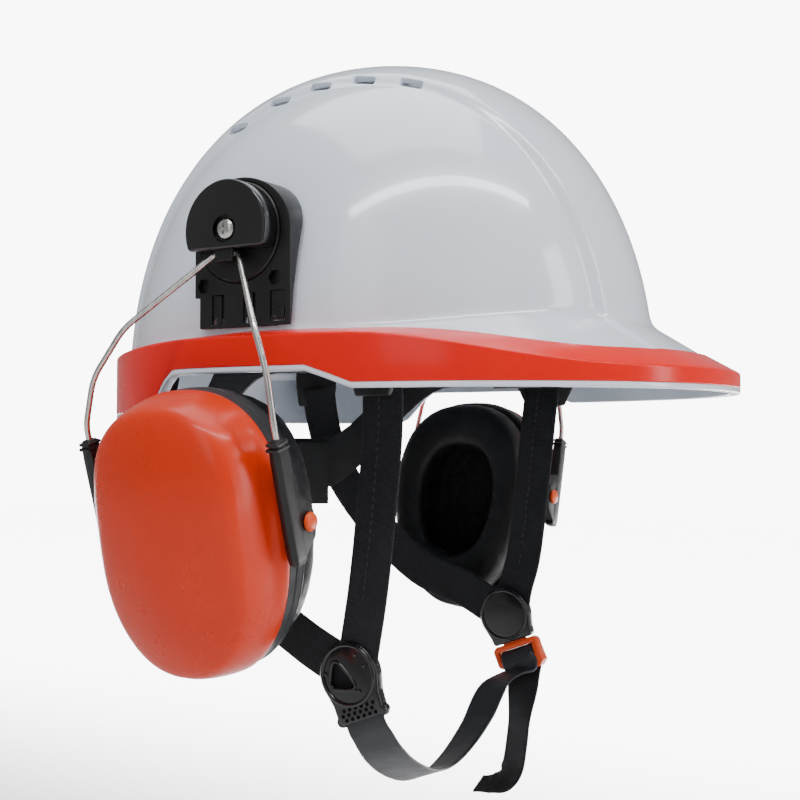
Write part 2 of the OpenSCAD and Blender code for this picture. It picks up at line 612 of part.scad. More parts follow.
module ratchet_knob() color("#101113") translate([0, 97.2, -36]) rotate([-90, 0, 0]) union() {
    translate([0, 0, 6]) cylinder(r = knob_shaft_r, h = 4, $fn = 32);
    translate([0, 0, 8.4]) linear_extrude(10) union() {
        circle(13, $fn = 64);
        for (a = [0 : 20 : 340]) rotate(a) translate([12, -1.2]) square([2.4, 2.4]);
    }
}

shell();
brim_band();
adapter_left();
adapter_right();
adapter_screws();
headband();
sweatband();
crown_strap_long();
crown_strap_left();
crown_strap_right();
hanger_clips();
front_anchors();
rear_anchors();
front_strap_left();
front_strap_right();
rear_strap_left();
rear_strap_right();
divider_left();
divider_right();
nape_band();
nape_pad();
ratchet_cover();
ratchet_knob();
ratchet_pinion();
chin_strap();
buckle_plug();
strap_tail();
rotor_left();
rotor_right();
pivot_cap_left();
pivot_cap_right();
wire_arm_left();
wire_arm_right();
front_holder_left();
front_holder_right();
rear_holder_left();
rear_holder_right();
pivot_buttons_left();
pivot_buttons_right();
ear_cup_left();
ear_cup_right();
cup_ring_left();
cup_ring_right();
cushion_left();
cushion_right();
foam_insert_left();
foam_insert_right();
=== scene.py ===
"""Looks of a forestry helmet with swing-out ear muffs and a four-point chin strap.

The wearer faces -Y, the wearer's left is +X and +Z is up. Shapes are worked out in millimetres
for the left side; mesh_piece() turns them to metres and mirrored() makes the right side.
"""

import math

import bmesh
import bpy
import numpy as np
from bpy.props import FloatProperty, FloatVectorProperty, IntProperty, PointerProperty
from mathutils import Matrix, Vector


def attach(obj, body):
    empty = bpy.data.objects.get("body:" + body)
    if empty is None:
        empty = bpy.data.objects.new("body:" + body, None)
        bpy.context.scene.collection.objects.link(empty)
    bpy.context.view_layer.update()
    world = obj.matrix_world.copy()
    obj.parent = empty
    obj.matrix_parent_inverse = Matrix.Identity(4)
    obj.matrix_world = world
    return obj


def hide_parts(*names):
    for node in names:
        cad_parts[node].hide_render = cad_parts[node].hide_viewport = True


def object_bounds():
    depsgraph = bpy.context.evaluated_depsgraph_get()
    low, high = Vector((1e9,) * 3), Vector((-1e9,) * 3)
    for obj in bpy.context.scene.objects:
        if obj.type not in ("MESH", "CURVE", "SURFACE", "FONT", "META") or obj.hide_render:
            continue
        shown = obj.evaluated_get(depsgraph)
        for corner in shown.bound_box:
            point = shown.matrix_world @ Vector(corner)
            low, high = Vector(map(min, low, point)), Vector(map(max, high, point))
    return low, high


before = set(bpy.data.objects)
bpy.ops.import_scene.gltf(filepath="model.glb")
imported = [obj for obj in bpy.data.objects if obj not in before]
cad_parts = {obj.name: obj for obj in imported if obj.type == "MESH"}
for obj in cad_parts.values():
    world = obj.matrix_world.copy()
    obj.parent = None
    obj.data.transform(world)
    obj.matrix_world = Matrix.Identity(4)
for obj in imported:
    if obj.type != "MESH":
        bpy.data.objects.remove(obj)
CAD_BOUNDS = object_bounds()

bl_info = {
    "name": "Forestry Helmet",
    "version": (1, 0, 0),
    "blender": (4, 5, 0),
    "location": "View3D > Sidebar > Helmet",
    "description": "Builds the visible pieces of a forestry helmet round its working frame",
    "category": "Object",
}

MM = 0.001
SIDES = {"left": 1, "right": -1}
X, Y, Z = np.eye(3)


def length(name, description, default):
    """A length property whose default is given in millimetres."""
    return FloatProperty(name=name, description=description, default=default * MM, unit="LENGTH")


def colour(name, description, default):
    return FloatVectorProperty(name=name, description=description, default=default, size=3,
                               min=0, max=1, subtype="COLOR")


# ------------------------------------------------------------------ settings
class ShellSizes(bpy.types.PropertyGroup):
    half_width: length("Half width", "Half width of the dome at its base", 105)
    half_length: length("Half length", "Half length of the dome at its base", 118.4)
    height: length("Height", "Height of the crown above the side edge", 144.5)
    middle: length("Middle", "How far behind the origin the dome's middle lies", -4)
    wall: length("Wall", "Thickness of the moulded shell", 2.6)
    rise: length("Panel rise", "Height of the raised centre panel", 2.9)
    step: length("Panel step", "Width of the sloped step beside the panel", 4.8)
    brim_half_width: length("Brim half width", "Half width over the brim", 112)
    visor_reach: length("Visor reach", "Reach of the visor in front of the origin", 160)
    rear_reach: length("Rear reach", "Reach of the brim behind the origin", 118)
    band_wall: length("Band wall", "Thickness of the coloured brim band", 1.5)


class MuffSizes(bpy.types.PropertyGroup):
    swing_height: length("Swing height", "Height of the swing axis above the side edge", 61)
    plate_face: length("Plate face", "Distance of the adapter's face from the middle plane", 106)
    cap_radius: length("Cap radius", "Radius of the pivot cap", 19)
    cap_depth: length("Cap depth", "Thickness of the pivot cap", 8.4)
    wire_radius: length("Wire radius", "Radius of the spring wire", 1.2)
    cup_half_width: length("Cup half width", "Half width of an ear cup", 40.5)
    cup_half_height: length("Cup half height", "Half height of an ear cup", 55)
    cushion: length("Cushion", "Thickness of a cushion", 18)


class StrapSizes(bpy.types.PropertyGroup):
    width: length("Width", "Width of the chin strap webbing", 18)
    thickness: length("Thickness", "Thickness of the webbing", 1.4)
    rib_pitch: length("Rib pitch", "Distance between the webbing's cross ribs", 1.1)
    stitch_pitch: length("Stitch pitch", "Distance between stitches", 3.2)
    stitch_length: length("Stitch length", "Length of a stitch", 2.1)


class Finishes(bpy.types.PropertyGroup):
    shell: colour("Shell", "Colour of the moulded shell", (0.82, 0.885, 1.0))
    band: colour("Band", "Colour of the brim band", (0.9, 0.004, 0.0))
    cup: colour("Cup", "Colour of the ear cups", (0.72, 0.03, 0.0))
    button: colour("Button", "Colour of the buttons and the buckle", (0.85, 0.07, 0.0))
    webbing: colour("Webbing", "Colour of the webbing", (0.016, 0.0165, 0.02))
    black: colour("Black", "Colour of the moulded black parts", (0.005, 0.005, 0.006))
    seed: IntProperty(name="Seed", description="Seed of what is random", default=7)


class StageSettings(bpy.types.PropertyGroup):
    lens: FloatProperty(name="Lens", description="Focal length", default=55.76, unit="CAMERA")
    floor_drop: length("Floor drop", "How far under the helmet the floor lies", 260)


def sizes(group):
    """A settings group's lengths in millimetres, as attributes."""
    settings = getattr(bpy.context.scene, group)
    values = {name: getattr(settings, name) for name in type(settings).__annotations__}
    return type("Sizes", (), {n: v / MM if isinstance(v, float) else v for n, v in values.items()})


# ------------------------------------------------------------------ numbers and curves
def ramp(v, a, b):
    """Rises smoothly from 0 at a to 1 at b."""
    s = min(1.0, max(0.0, (v - a) / (b - a)))
    return s * s * (3 - 2 * s)


def mix(a, b, s):
    return a + (b - a) * s


def spow(v, e):
    """A power that keeps the sign of v."""
    return math.copysign(abs(v) ** e, v)


def unit(v):
    v = np.asarray(v, float)
    return v / np.linalg.norm(v)


def vec(*v):
    return np.array(v, float)


def spread(a, b, n):
    """n + 1 values from a to b."""
    return [mix(a, b, i / n) for i in range(n + 1)]


def smooth_path(points, steps):
    """A Catmull-Rom curve through the points."""
    p = [np.array(q, float) for q in points]
    out = []
    for i in range(len(p) - 1):
        a, b, c, d = p[max(i - 1, 0)], p[i], p[i + 1], p[min(i + 2, len(p) - 1)]
        for k in range(steps):
            s = k / steps
            out.append(0.5 * (2 * b + (c - a) * s + (2 * a - 5 * b + 4 * c - d) * s * s
                              + (3 * b - a - 3 * c + d) * s ** 3))
    return out + [p[-1]]


def even_path(points, pitch):
    """The same path with its points an even distance apart, close to pitch."""
    p = np.array(points)
    run = np.concatenate([[0], np.cumsum(np.linalg.norm(np.diff(p, axis=0), axis=1))])
    n = max(2, round(run[-1] / pitch))
    at = np.linspace(0, run[-1], n + 1)
    return np.stack([np.interp(at, run, p[:, i]) for i in range(3)], axis=1)


def directions(path):
    """Unit directions along a path, one for each point."""
    d = np.gradient(np.asarray(path, float), axis=0)
    return d / np.linalg.norm(d, axis=1)[:, None]


def rounded(points, radii, steps=4):
    """A closed outline with its corners rounded; radii is one number or one for each corner."""
    p = [np.array(q, float) for q in points]
    radii = [radii] * len(p) if np.isscalar(radii) else radii
    out = []
    for i, q in enumerate(p):
        u, v = p[i - 1] - q, p[(i + 1) % len(p)] - q
        lu, lv = np.linalg.norm(u), np.linalg.norm(v)
        half = math.acos(max(-1, min(1, u @ v / (lu * lv)))) / 2
        reach = min(radii[i] / math.tan(half), 0.48 * lu, 0.48 * lv)
        a, b = q + u / lu * reach, q + v / lv * reach
        for s in spread(0, 1, steps):
            out.append(a * (1 - s) ** 2 + 2 * q * s * (1 - s) + b * s * s)
    return out


def rectangle(half, low, high):
    """Corners of a rectangle, centred across and reaching from low to high."""
    return [(-half, low), (half, low), (half, high), (-half, high)]


def rounds(n):
    """n angles evenly round a circle, in radians."""
    return spread(0, 2 * math.pi, n)[:-1]


def arc(x, y, r, start, end, n):
    """Points on a circle between two angles in degrees."""
    return [vec(x + r * math.cos(math.radians(a)), y + r * math.sin(math.radians(a)))
            for a in spread(start, end, n)]


# ------------------------------------------------------------------ meshes
def loft(rows, ring=True, caps=True, loop=False):
    """Points and faces skinned over rows of points; a row of one point is a pole."""
    starts = np.cumsum([0] + [len(r) for r in rows])
    verts = [v for r in rows for v in r]
    faces = []
    pairs = [(i, i + 1) for i in range(len(rows) - 1)] + ([(len(rows) - 1, 0)] if loop else [])
    for i, j in pairs:
        n, m = len(rows[i]), len(rows[j])
        for k in range(max(n, m) - (0 if ring else 1)):
            face = [starts[i] + k % n, starts[i] + (k + 1) % n,
                    starts[j] + (k + 1) % m, starts[j] + k % m]
            faces.append(list(dict.fromkeys(int(v) for v in face)))
    if caps and not loop:
        for i in (0, len(rows) - 1):
            if len(rows[i]) > 2:
                faces.append([int(starts[i] + k) for k in range(len(rows[i]))])
    return verts, faces


def recalculate(mesh):
    """All faces of a closed mesh point outwards."""
    bm = bmesh.new()
    bm.from_mesh(mesh)
    bmesh.ops.recalc_face_normals(bm, faces=bm.faces)
    bm.to_mesh(mesh)
    bm.free()


def mesh_piece(name, verts, faces, sharp=40):
    """A smooth-shaded object from points in millimetres; edges over the sharp angle stay crisp."""
    mesh = bpy.data.meshes.new(name)
    mesh.from_pydata([tuple(float(c) * MM for c in v) for v in verts], [], faces)
    mesh.validate()
    recalculate(mesh)
    obj = bpy.data.objects.new(name, mesh)
    bpy.context.scene.collection.objects.link(obj)
    shade(obj, sharp)
    return obj


def shade(obj, sharp=40):
    """Smooth shading, with edges over the sharp angle kept crisp."""
    obj.data.shade_smooth()
    obj.data.set_sharp_from_angle(angle=math.radians(sharp))
    return obj


def bake(obj):
    """Turns an object and its modifiers into a plain mesh."""
    graph = bpy.context.evaluated_depsgraph_get()
    graph.update()
    mesh = bpy.data.meshes.new_from_object(obj.evaluated_get(graph), preserve_all_data_layers=True,
                                           depsgraph=graph)
    mesh.name = obj.name
    if obj.type == "MESH":
        obj.modifiers.clear()
        obj.data = mesh
        return obj
    name = obj.name
    bpy.data.objects.remove(obj)
    made = bpy.data.objects.new(name, mesh)
    bpy.context.scene.collection.objects.link(made)
    return made


def soften(obj, width, segments=3, angle=32, sharp=50):
    """Rounds the edges of a moulded part."""
    bevel = obj.modifiers.new("round", "BEVEL")
    bevel.width = width * MM
    bevel.segments = segments
    bevel.limit_method = "ANGLE"
    bevel.angle_limit = math.radians(angle)
    bake(obj)
    return shade(obj, sharp)


def cut(obj, *cutters, join=False):
    """Cuts shapes out of an object, or joins them on."""
    for cutter in cutters:
        step = obj.modifiers.new("cut", "BOOLEAN")
        step.operation = "UNION" if join else "DIFFERENCE"
        step.solver = "EXACT"
        step.object = cutter
        bake(obj)
        bpy.data.objects.remove(cutter)
    return shade(obj)


def joined(name, *objs):
    """Several meshes as one object."""
    verts, faces, count = [], [], 0
    for obj in objs:
        verts += [v.co / MM for v in obj.data.vertices]
        faces += [[count + v for v in p.vertices] for p in obj.data.polygons]
        count += len(obj.data.vertices)
        bpy.data.objects.remove(obj)
    return mesh_piece(name, verts, faces)


def mirrored(obj, name):
    """A copy on the other side of the middle plane, with its faces still outwards."""
    mesh = obj.data.copy()
    mesh.transform(Matrix.Diagonal((-1, 1, 1, 1)))
    mesh.flip_normals()
    made = bpy.data.objects.new(name, mesh)
    bpy.context.scene.collection.objects.link(made)
    return made


def place(points, frame_of):
    """Local points, in two or three dimensions, taken to the world by (origin, u, v, w)."""
    o, u, v, w = frame_of
    return [o + u * p[0] + v * p[1] + w * (p[2] if len(p) > 2 else 0) for p in points]


def prism(name, outline, low, high, frame_of, bevel=0.0, segments=3):
    """An outline in u and v, extruded along w; bevel rounds its edges."""
    rows = [place([(p[0], p[1], h) for p in outline], frame_of) for h in (low, high)]
    obj = mesh_piece(name, *loft(rows))
    return soften(obj, bevel, segments) if bevel else obj


def turned(name, profile, frame_of, n=64):
    """A solid turned about w; profile is (radius, height) points, closed at both ends."""
    rows = []
    for r, h in profile:
        if r < 1e-6:
            rows.append(place([(0, 0, h)], frame_of))
        else:
            rows.append(place([(r * math.cos(2 * math.pi * k / n), r * math.sin(2 * math.pi * k / n), h)
                               for k in range(n)], frame_of))
    return mesh_piece(name, *loft(rows), sharp=35)


def tube(name, path, radius, n=20):
    """A round rod along a path, with rounded ends."""
    path = np.asarray(path, float)
    d = directions(path)
    rows = []
    side = unit(np.cross(d[0], X if abs(d[0][0]) < 0.9 else Y))
    for i, p in enumerate(path):
        side = unit(side - (side @ d[i]) * d[i])
        up = np.cross(d[i], side)
        r = radius * (0.72 if i in (0, len(path) - 1) else 1)
        rows.append([p + r * (side * math.cos(a) + up * math.sin(a))
                     for a in (2 * math.pi * k / n for k in range(n))])
    return mesh_piece(name, *loft(rows))


def finish(obj, material, body, slot, *nodes):
    """Gives a piece its material and body, and hides the nodes that it stands for. The slot is not used."""
    obj.data.materials.clear()
    obj.data.materials.append(material)
    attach(obj, body)
    if nodes:
        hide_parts(*nodes)
    return obj


def on_both_sides(obj, material, body, slot, *nodes):
    """Finishes a left piece and its mirror image; names get _left and _right."""
    base = obj.name
    for side, sign in SIDES.items():
        piece = obj if sign > 0 else mirrored(obj, base)
        piece.name = f"{base}_{side}"
        piece.data.name = piece.name
        where = f"{body}_{side}" if body != "helmet" else body
        finish(piece, material, where, slot, *[f"{n}_{side}" for n in nodes])


# ------------------------------------------------------------------ materials
class Shader:
    """A material under construction: its nodes, and short calls to add and join them."""

    def __init__(self, name, base, roughness, **sockets):
        self.material = bpy.data.materials.new(name)
        self.material.use_nodes = True
        self.tree = self.material.node_tree
        self.bsdf = self.tree.nodes["Principled BSDF"]
        self.bsdf.inputs["Base Color"].default_value = (*base, 1)
        self.bsdf.inputs["Roughness"].default_value = roughness
        for socket, value in sockets.items():
            self.bsdf.inputs[socket.replace("_", " ")].default_value = value
        self.material.diffuse_color = (*base, 1)
        self.base = base
        self.heights = []

    def node(self, kind, **settings):
        made = self.tree.nodes.new(kind)
        for name, value in settings.items():
            if hasattr(made, name):
                setattr(made, name, value)
            else:
                made.inputs[name.replace("_", " ")].default_value = value
        return made

    def link(self, out, into):
        self.tree.links.new(out, into)
        return self

    def coords(self, scale=(1, 1, 1), source="Object"):
        """The object's own coordinates, or its UV map, stretched by scale."""
        mapping = self.node("ShaderNodeMapping")
        mapping.inputs["Scale"].default_value = scale
        self.link(self.node("ShaderNodeTexCoord").outputs[source], mapping.inputs["Vector"])
        return mapping.outputs["Vector"]

    def noise(self, scale, detail=3.0, stretch=(1, 1, 1), source="Object", roughness=0.5):
        made = self.node("ShaderNodeTexNoise", Scale=scale, Detail=detail, Roughness=roughness)
        self.link(self.coords(stretch, source), made.inputs["Vector"])
        return made.outputs["Fac"]

    def spread(self, value, low, high, start=0.3, end=0.7):
        """A value from start to end, spread over low to high."""
        made = self.node("ShaderNodeMapRange", From_Min=start, From_Max=end, To_Min=low, To_Max=high)
        self.link(value, made.inputs["Value"])
        return made.outputs["Result"]

    def math(self, operation, a, b):
        made = self.node("ShaderNodeMath", operation=operation)
        for value, socket in ((a, made.inputs[0]), (b, made.inputs[1])):
            if isinstance(value, (int, float)):
                socket.default_value = value
            else:
                self.link(value, socket)
        return made.outputs[0]

    def tint(self, value, *colours):
        """Colours the surface by a value from 0 to 1, evenly over the given colours."""
        made = self.node("ShaderNodeValToRGB")
        stops = made.color_ramp.elements
        while len(stops) < len(colours):
            stops.new(0.5)
        for i, c in enumerate(colours):
            stops[i].position = 0.3 + 0.4 * i / (len(colours) - 1)
            stops[i].color = (*c, 1)
        self.link(value, made.inputs["Fac"])
        self.link(made.outputs["Color"], self.bsdf.inputs["Base Color"])
        return self

    def shades(self, value, low, high):
        """Colours the surface from low to high times its own colour."""
        return self.tint(value, tuple(min(1, c * low) for c in self.base),
                         tuple(min(1, c * high) for c in self.base))

    def rough(self, value, low, high):
        return self.link(self.spread(value, low, high), self.bsdf.inputs["Roughness"])

    def raise_by(self, height, depth, strength=1.0):
        """Adds relief of some depth in millimetres."""
        bump = self.node("ShaderNodeBump", Strength=strength, Distance=depth * MM)
        self.link(height, bump.inputs["Height"])
        if self.heights:
            self.link(self.heights[-1].outputs["Normal"], bump.inputs["Normal"])
        self.heights.append(bump)
        return self.link(bump.outputs["Normal"], self.bsdf.inputs["Normal"])


def moulded(name, base, roughness, depth=0.02, grain=900, variation=0.06, **sockets):
    """Moulded plastic: slight clouds in its colour, uneven gloss and a fine skin."""
    made = Shader(name, base, roughness, **sockets)
    made.shades(made.noise(38, 4), 1 - variation, 1 + variation)
    made.rough(made.noise(65, 5, roughness=0.6), roughness * 0.8, min(1, roughness * 1.25))
    made.raise_by(made.noise(grain, 2), depth)
    return made


def scuffed(made, scale=420, amount=0.06):
    """Fine scratches that run mostly one way, in the relief."""
    streaks = made.noise(scale, 2, (1, 1, 0.06))
    made.raise_by(streaks, 0.012, amount)
    return made


def webbing_cloth(name, base):
    """Woven webbing: cross ribs and a twill, on the strap's own UV map in metres."""
    made = Shader(name, base, 0.72, Specular_IOR_Level=0.3, Sheen_Weight=0.05, Sheen_Roughness=0.5)
    warp = made.node("ShaderNodeTexWave", bands_direction="X", Scale=620.0, Distortion=0.6, Detail=1.0)
    made.link(made.coords(source="UV"), warp.inputs["Vector"])
    weft = made.node("ShaderNodeTexWave", bands_direction="Y", Scale=430.0, Distortion=0.4, Detail=1.0)
    made.link(made.coords(source="UV"), weft.inputs["Vector"])
    weave = made.math("MULTIPLY", warp.outputs["Fac"], weft.outputs["Fac"])
    fibres = made.noise(2600, 3, (1, 0.35, 1), "UV")
    mottle = made.noise(90, 4, source="UV")
    weave_share, mottle_share = made.math("MULTIPLY", weave, 0.55), made.math("MULTIPLY", mottle, 0.5)
    made.shades(made.math("ADD", weave_share, mottle_share), 0.62, 1.75)
    made.rough(fibres, 0.62, 0.88)
    made.raise_by(weave, 0.22, 0.9)
    made.raise_by(fibres, 0.08, 0.7)
    return made


def cushion_vinyl(name):
    """Soft vinyl with a fine leather grain."""
    made = Shader(name, (0.007, 0.007, 0.008), 0.46, Specular_IOR_Level=0.4)
    pebble = made.node("ShaderNodeTexVoronoi", Scale=1050.0, Randomness=1.0)
    made.link(made.coords(), pebble.inputs["Vector"])
    made.shades(made.noise(80, 4), 0.7, 1.5)
    made.rough(made.noise(220, 4), 0.38, 0.6)
    made.raise_by(pebble.outputs["Distance"], 0.10, 0.55)
    made.raise_by(made.noise(130, 3), 0.25, 0.35)
    return made


def open_foam(name):
    """Charcoal foam with open cells."""
    made = Shader(name, (0.012, 0.012, 0.013), 0.95, Specular_IOR_Level=0.2)
    cells = made.node("ShaderNodeTexVoronoi", Scale=1100.0, Randomness=1.0)
    made.link(made.coords(), cells.inputs["Vector"])
    made.shades(cells.outputs["Distance"], 1.15, 0.75)
    made.rough(cells.outputs["Distance"], 0.85, 1.0)
    made.raise_by(cells.outputs["Distance"], 0.3, 0.6)
    return made


def brushed_cloth(name, base):
    """A brushed, foam-backed cloth."""
    made = Shader(name, base, 0.9, Sheen_Weight=0.4, Sheen_Roughness=0.6)
    knit = made.noise(1500, 2, (1, 1, 2.5))
    made.shades(made.noise(420, 5), 0.6, 1.6)
    made.rough(knit, 0.82, 0.98)
    made.raise_by(knit, 0.25, 0.8)
    return made


def drawn_wire(name):
    """Drawn stainless wire with lengthwise streaks."""
    made = Shader(name, (0.66, 0.65, 0.62), 0.24, Metallic=1.0)
    made.shades(made.noise(500, 3, (1, 1, 0.1)), 0.75, 1.15)
    made.rough(made.noise(900, 2, (1, 1, 0.08)), 0.16, 0.34)
    made.raise_by(made.noise(1600, 2, (1, 1, 0.05)), 0.004, 0.3)
    return made


MATERIALS = {}


def make_materials(colours):
    """All finishes, by name, in the user's colours."""
    black = tuple(colours.black)
    MATERIALS.update({
        "shell_gloss": moulded("shell_gloss", tuple(colours.shell), 0.2, 0.01, 260, 0.015,
                               Coat_Weight=0.6, Coat_Roughness=0.05),
        "band_gloss": moulded("band_gloss", tuple(colours.band), 0.22, 0.003, 900, 0.02,
                              Specular_IOR_Level=0.25, Coat_Weight=0.12, Coat_Roughness=0.1),
        "cup_satin": moulded("cup_satin", tuple(colours.cup), 0.3, 0.006, 900, 0.03,
                             Specular_IOR_Level=0.28, Coat_Weight=0.16, Coat_Roughness=0.12),
        "button_orange": moulded("button_orange", tuple(colours.button), 0.33, 0.02, 900, 0.07,
                                 Subsurface_Weight=0.08),
        "black_satin": scuffed(moulded("black_satin", black, 0.42, 0.03, 1100, 0.25)),
        "black_gloss": moulded("black_gloss", black, 0.2, 0.015, 500, 0.2, Coat_Weight=0.4,
                               Coat_Roughness=0.1),
        "harness_matte": scuffed(moulded("harness_matte", (0.006, 0.006, 0.007), 0.5, 0.05, 1300,
                                         0.25)),
        "ring_grey": moulded("ring_grey", (0.022, 0.023, 0.026), 0.5, 0.04, 1200, 0.2),
        "spring_wire": drawn_wire("spring_wire"),
        "cushion_vinyl": cushion_vinyl("cushion_vinyl"),
        "open_foam": open_foam("open_foam"),
        "webbing_cloth": webbing_cloth("webbing_cloth", tuple(colours.webbing)),
        "strap_smooth": moulded("strap_smooth", (0.018, 0.02, 0.027), 0.42, 0.05, 1400, 0.2,
                                Coat_Weight=0.1, Coat_Roughness=0.3),
        "sweat_cloth": brushed_cloth("sweat_cloth", (0.03, 0.031, 0.035)),
        "thread": moulded("thread", (0.022, 0.023, 0.026), 0.6, 0.05, 2500, 0.3),
    })


def material(name):
    return MATERIALS[name].material


# ------------------------------------------------------------------ geometry nodes
def repeat_tree(name):
    """A node tree that sets one small shape along a path, an even pitch apart.

    Inputs: Path (the modified curve), Shape, Pitch, Scale Jitter, Seed and Material.
    """
    tree = bpy.data.node_groups.new(name, "GeometryNodeTree")
    io = tree.interface
    io.new_socket("Path", in_out="INPUT", socket_type="NodeSocketGeometry")
    shape = io.new_socket("Shape", in_out="INPUT", socket_type="NodeSocketObject")
    pitch = io.new_socket("Pitch", in_out="INPUT", socket_type="NodeSocketFloat")
    jitter = io.new_socket("Scale Jitter", in_out="INPUT", socket_type="NodeSocketFloat")
    seed = io.new_socket("Seed", in_out="INPUT", socket_type="NodeSocketInt")
    finish_with = io.new_socket("Material", in_out="INPUT", socket_type="NodeSocketMaterial")
    io.new_socket("Pieces", in_out="OUTPUT", socket_type="NodeSocketGeometry")
    pitch.default_value, jitter.default_value, seed.default_value = 3.2 * MM, 0.05, 7

    def node(kind, **settings):
        made = tree.nodes.new(kind)
        for key, value in settings.items():
            setattr(made, key, value)
        return made

    def link(out, into):
        tree.links.new(out, into)

    group_in, group_out = node("NodeGroupInput"), node("NodeGroupOutput")
    points = node("GeometryNodeCurveToPoints", mode="LENGTH")
    link(group_in.outputs["Path"], points.inputs["Curve"])
    link(group_in.outputs["Pitch"], points.inputs["Length"])
    info = node("GeometryNodeObjectInfo", transform_space="ORIGINAL")
    link(group_in.outputs["Shape"], info.inputs["Object"])
    least = node("ShaderNodeMath", operation="SUBTRACT")
    least.inputs[0].default_value = 1
    link(group_in.outputs["Scale Jitter"], least.inputs[1])
    most = node("ShaderNodeMath", operation="ADD")
    most.inputs[0].default_value = 1
    link(group_in.outputs["Scale Jitter"], most.inputs[1])
    size = node("FunctionNodeRandomValue", data_type="FLOAT")
    link(least.outputs[0], size.inputs["Min"])
    link(most.outputs[0], size.inputs["Max"])
    link(group_in.outputs["Seed"], size.inputs["Seed"])
    place_them = node("GeometryNodeInstanceOnPoints")
    link(points.outputs["Points"], place_them.inputs["Points"])
    link(points.outputs["Rotation"], place_them.inputs["Rotation"])
    link(info.outputs["Geometry"], place_them.inputs["Instance"])
    link(size.outputs["Value"], place_them.inputs["Scale"])
    realize = node("GeometryNodeRealizeInstances")
    link(place_them.outputs["Instances"], realize.inputs["Geometry"])
    paint = node("GeometryNodeSetMaterial")
    link(realize.outputs["Geometry"], paint.inputs["Geometry"])
    link(group_in.outputs["Material"], paint.inputs["Material"])
    link(paint.outputs["Geometry"], group_out.inputs["Pieces"])
    sockets = {"shape": shape, "pitch": pitch, "jitter": jitter, "seed": seed, "material": finish_with}
    return tree, {key: socket.identifier for key, socket in sockets.items()}


REPEAT = {}


def repeated(name, path, shape, pitch, material_name, tilt=None, jitter=0.04, seed=7):
    """One mesh of a shape repeated along a path; any tilt only turns the path's twist from Z up to minimum.
    """
    if not REPEAT:
        REPEAT["tree"], REPEAT["ids"] = repeat_tree("repeat_along_path")
    curve = bpy.data.curves.new(name, "CURVE")
    curve.dimensions = "3D"
    curve.twist_mode = "Z_UP" if tilt is None else "MINIMUM"
    spline = curve.splines.new("POLY")
    spline.points.add(len(path) - 1)
    for point, p in zip(spline.points, path):
        point.co = (*[float(c) * MM for c in p], 1)
    obj = bpy.data.objects.new(name, curve)
    bpy.context.scene.collection.objects.link(obj)
    modifier = obj.modifiers.new("repeat", "NODES")
    modifier.node_group = REPEAT["tree"]
    ids = REPEAT["ids"]
    modifier[ids["shape"]] = shape
    modifier[ids["pitch"]] = pitch * MM
    modifier[ids["jitter"]] = jitter
    modifier[ids["seed"]] = seed
    modifier[ids["material"]] = material(material_name)
    made = bake(obj)
    bpy.data.objects.remove(shape)
    return made


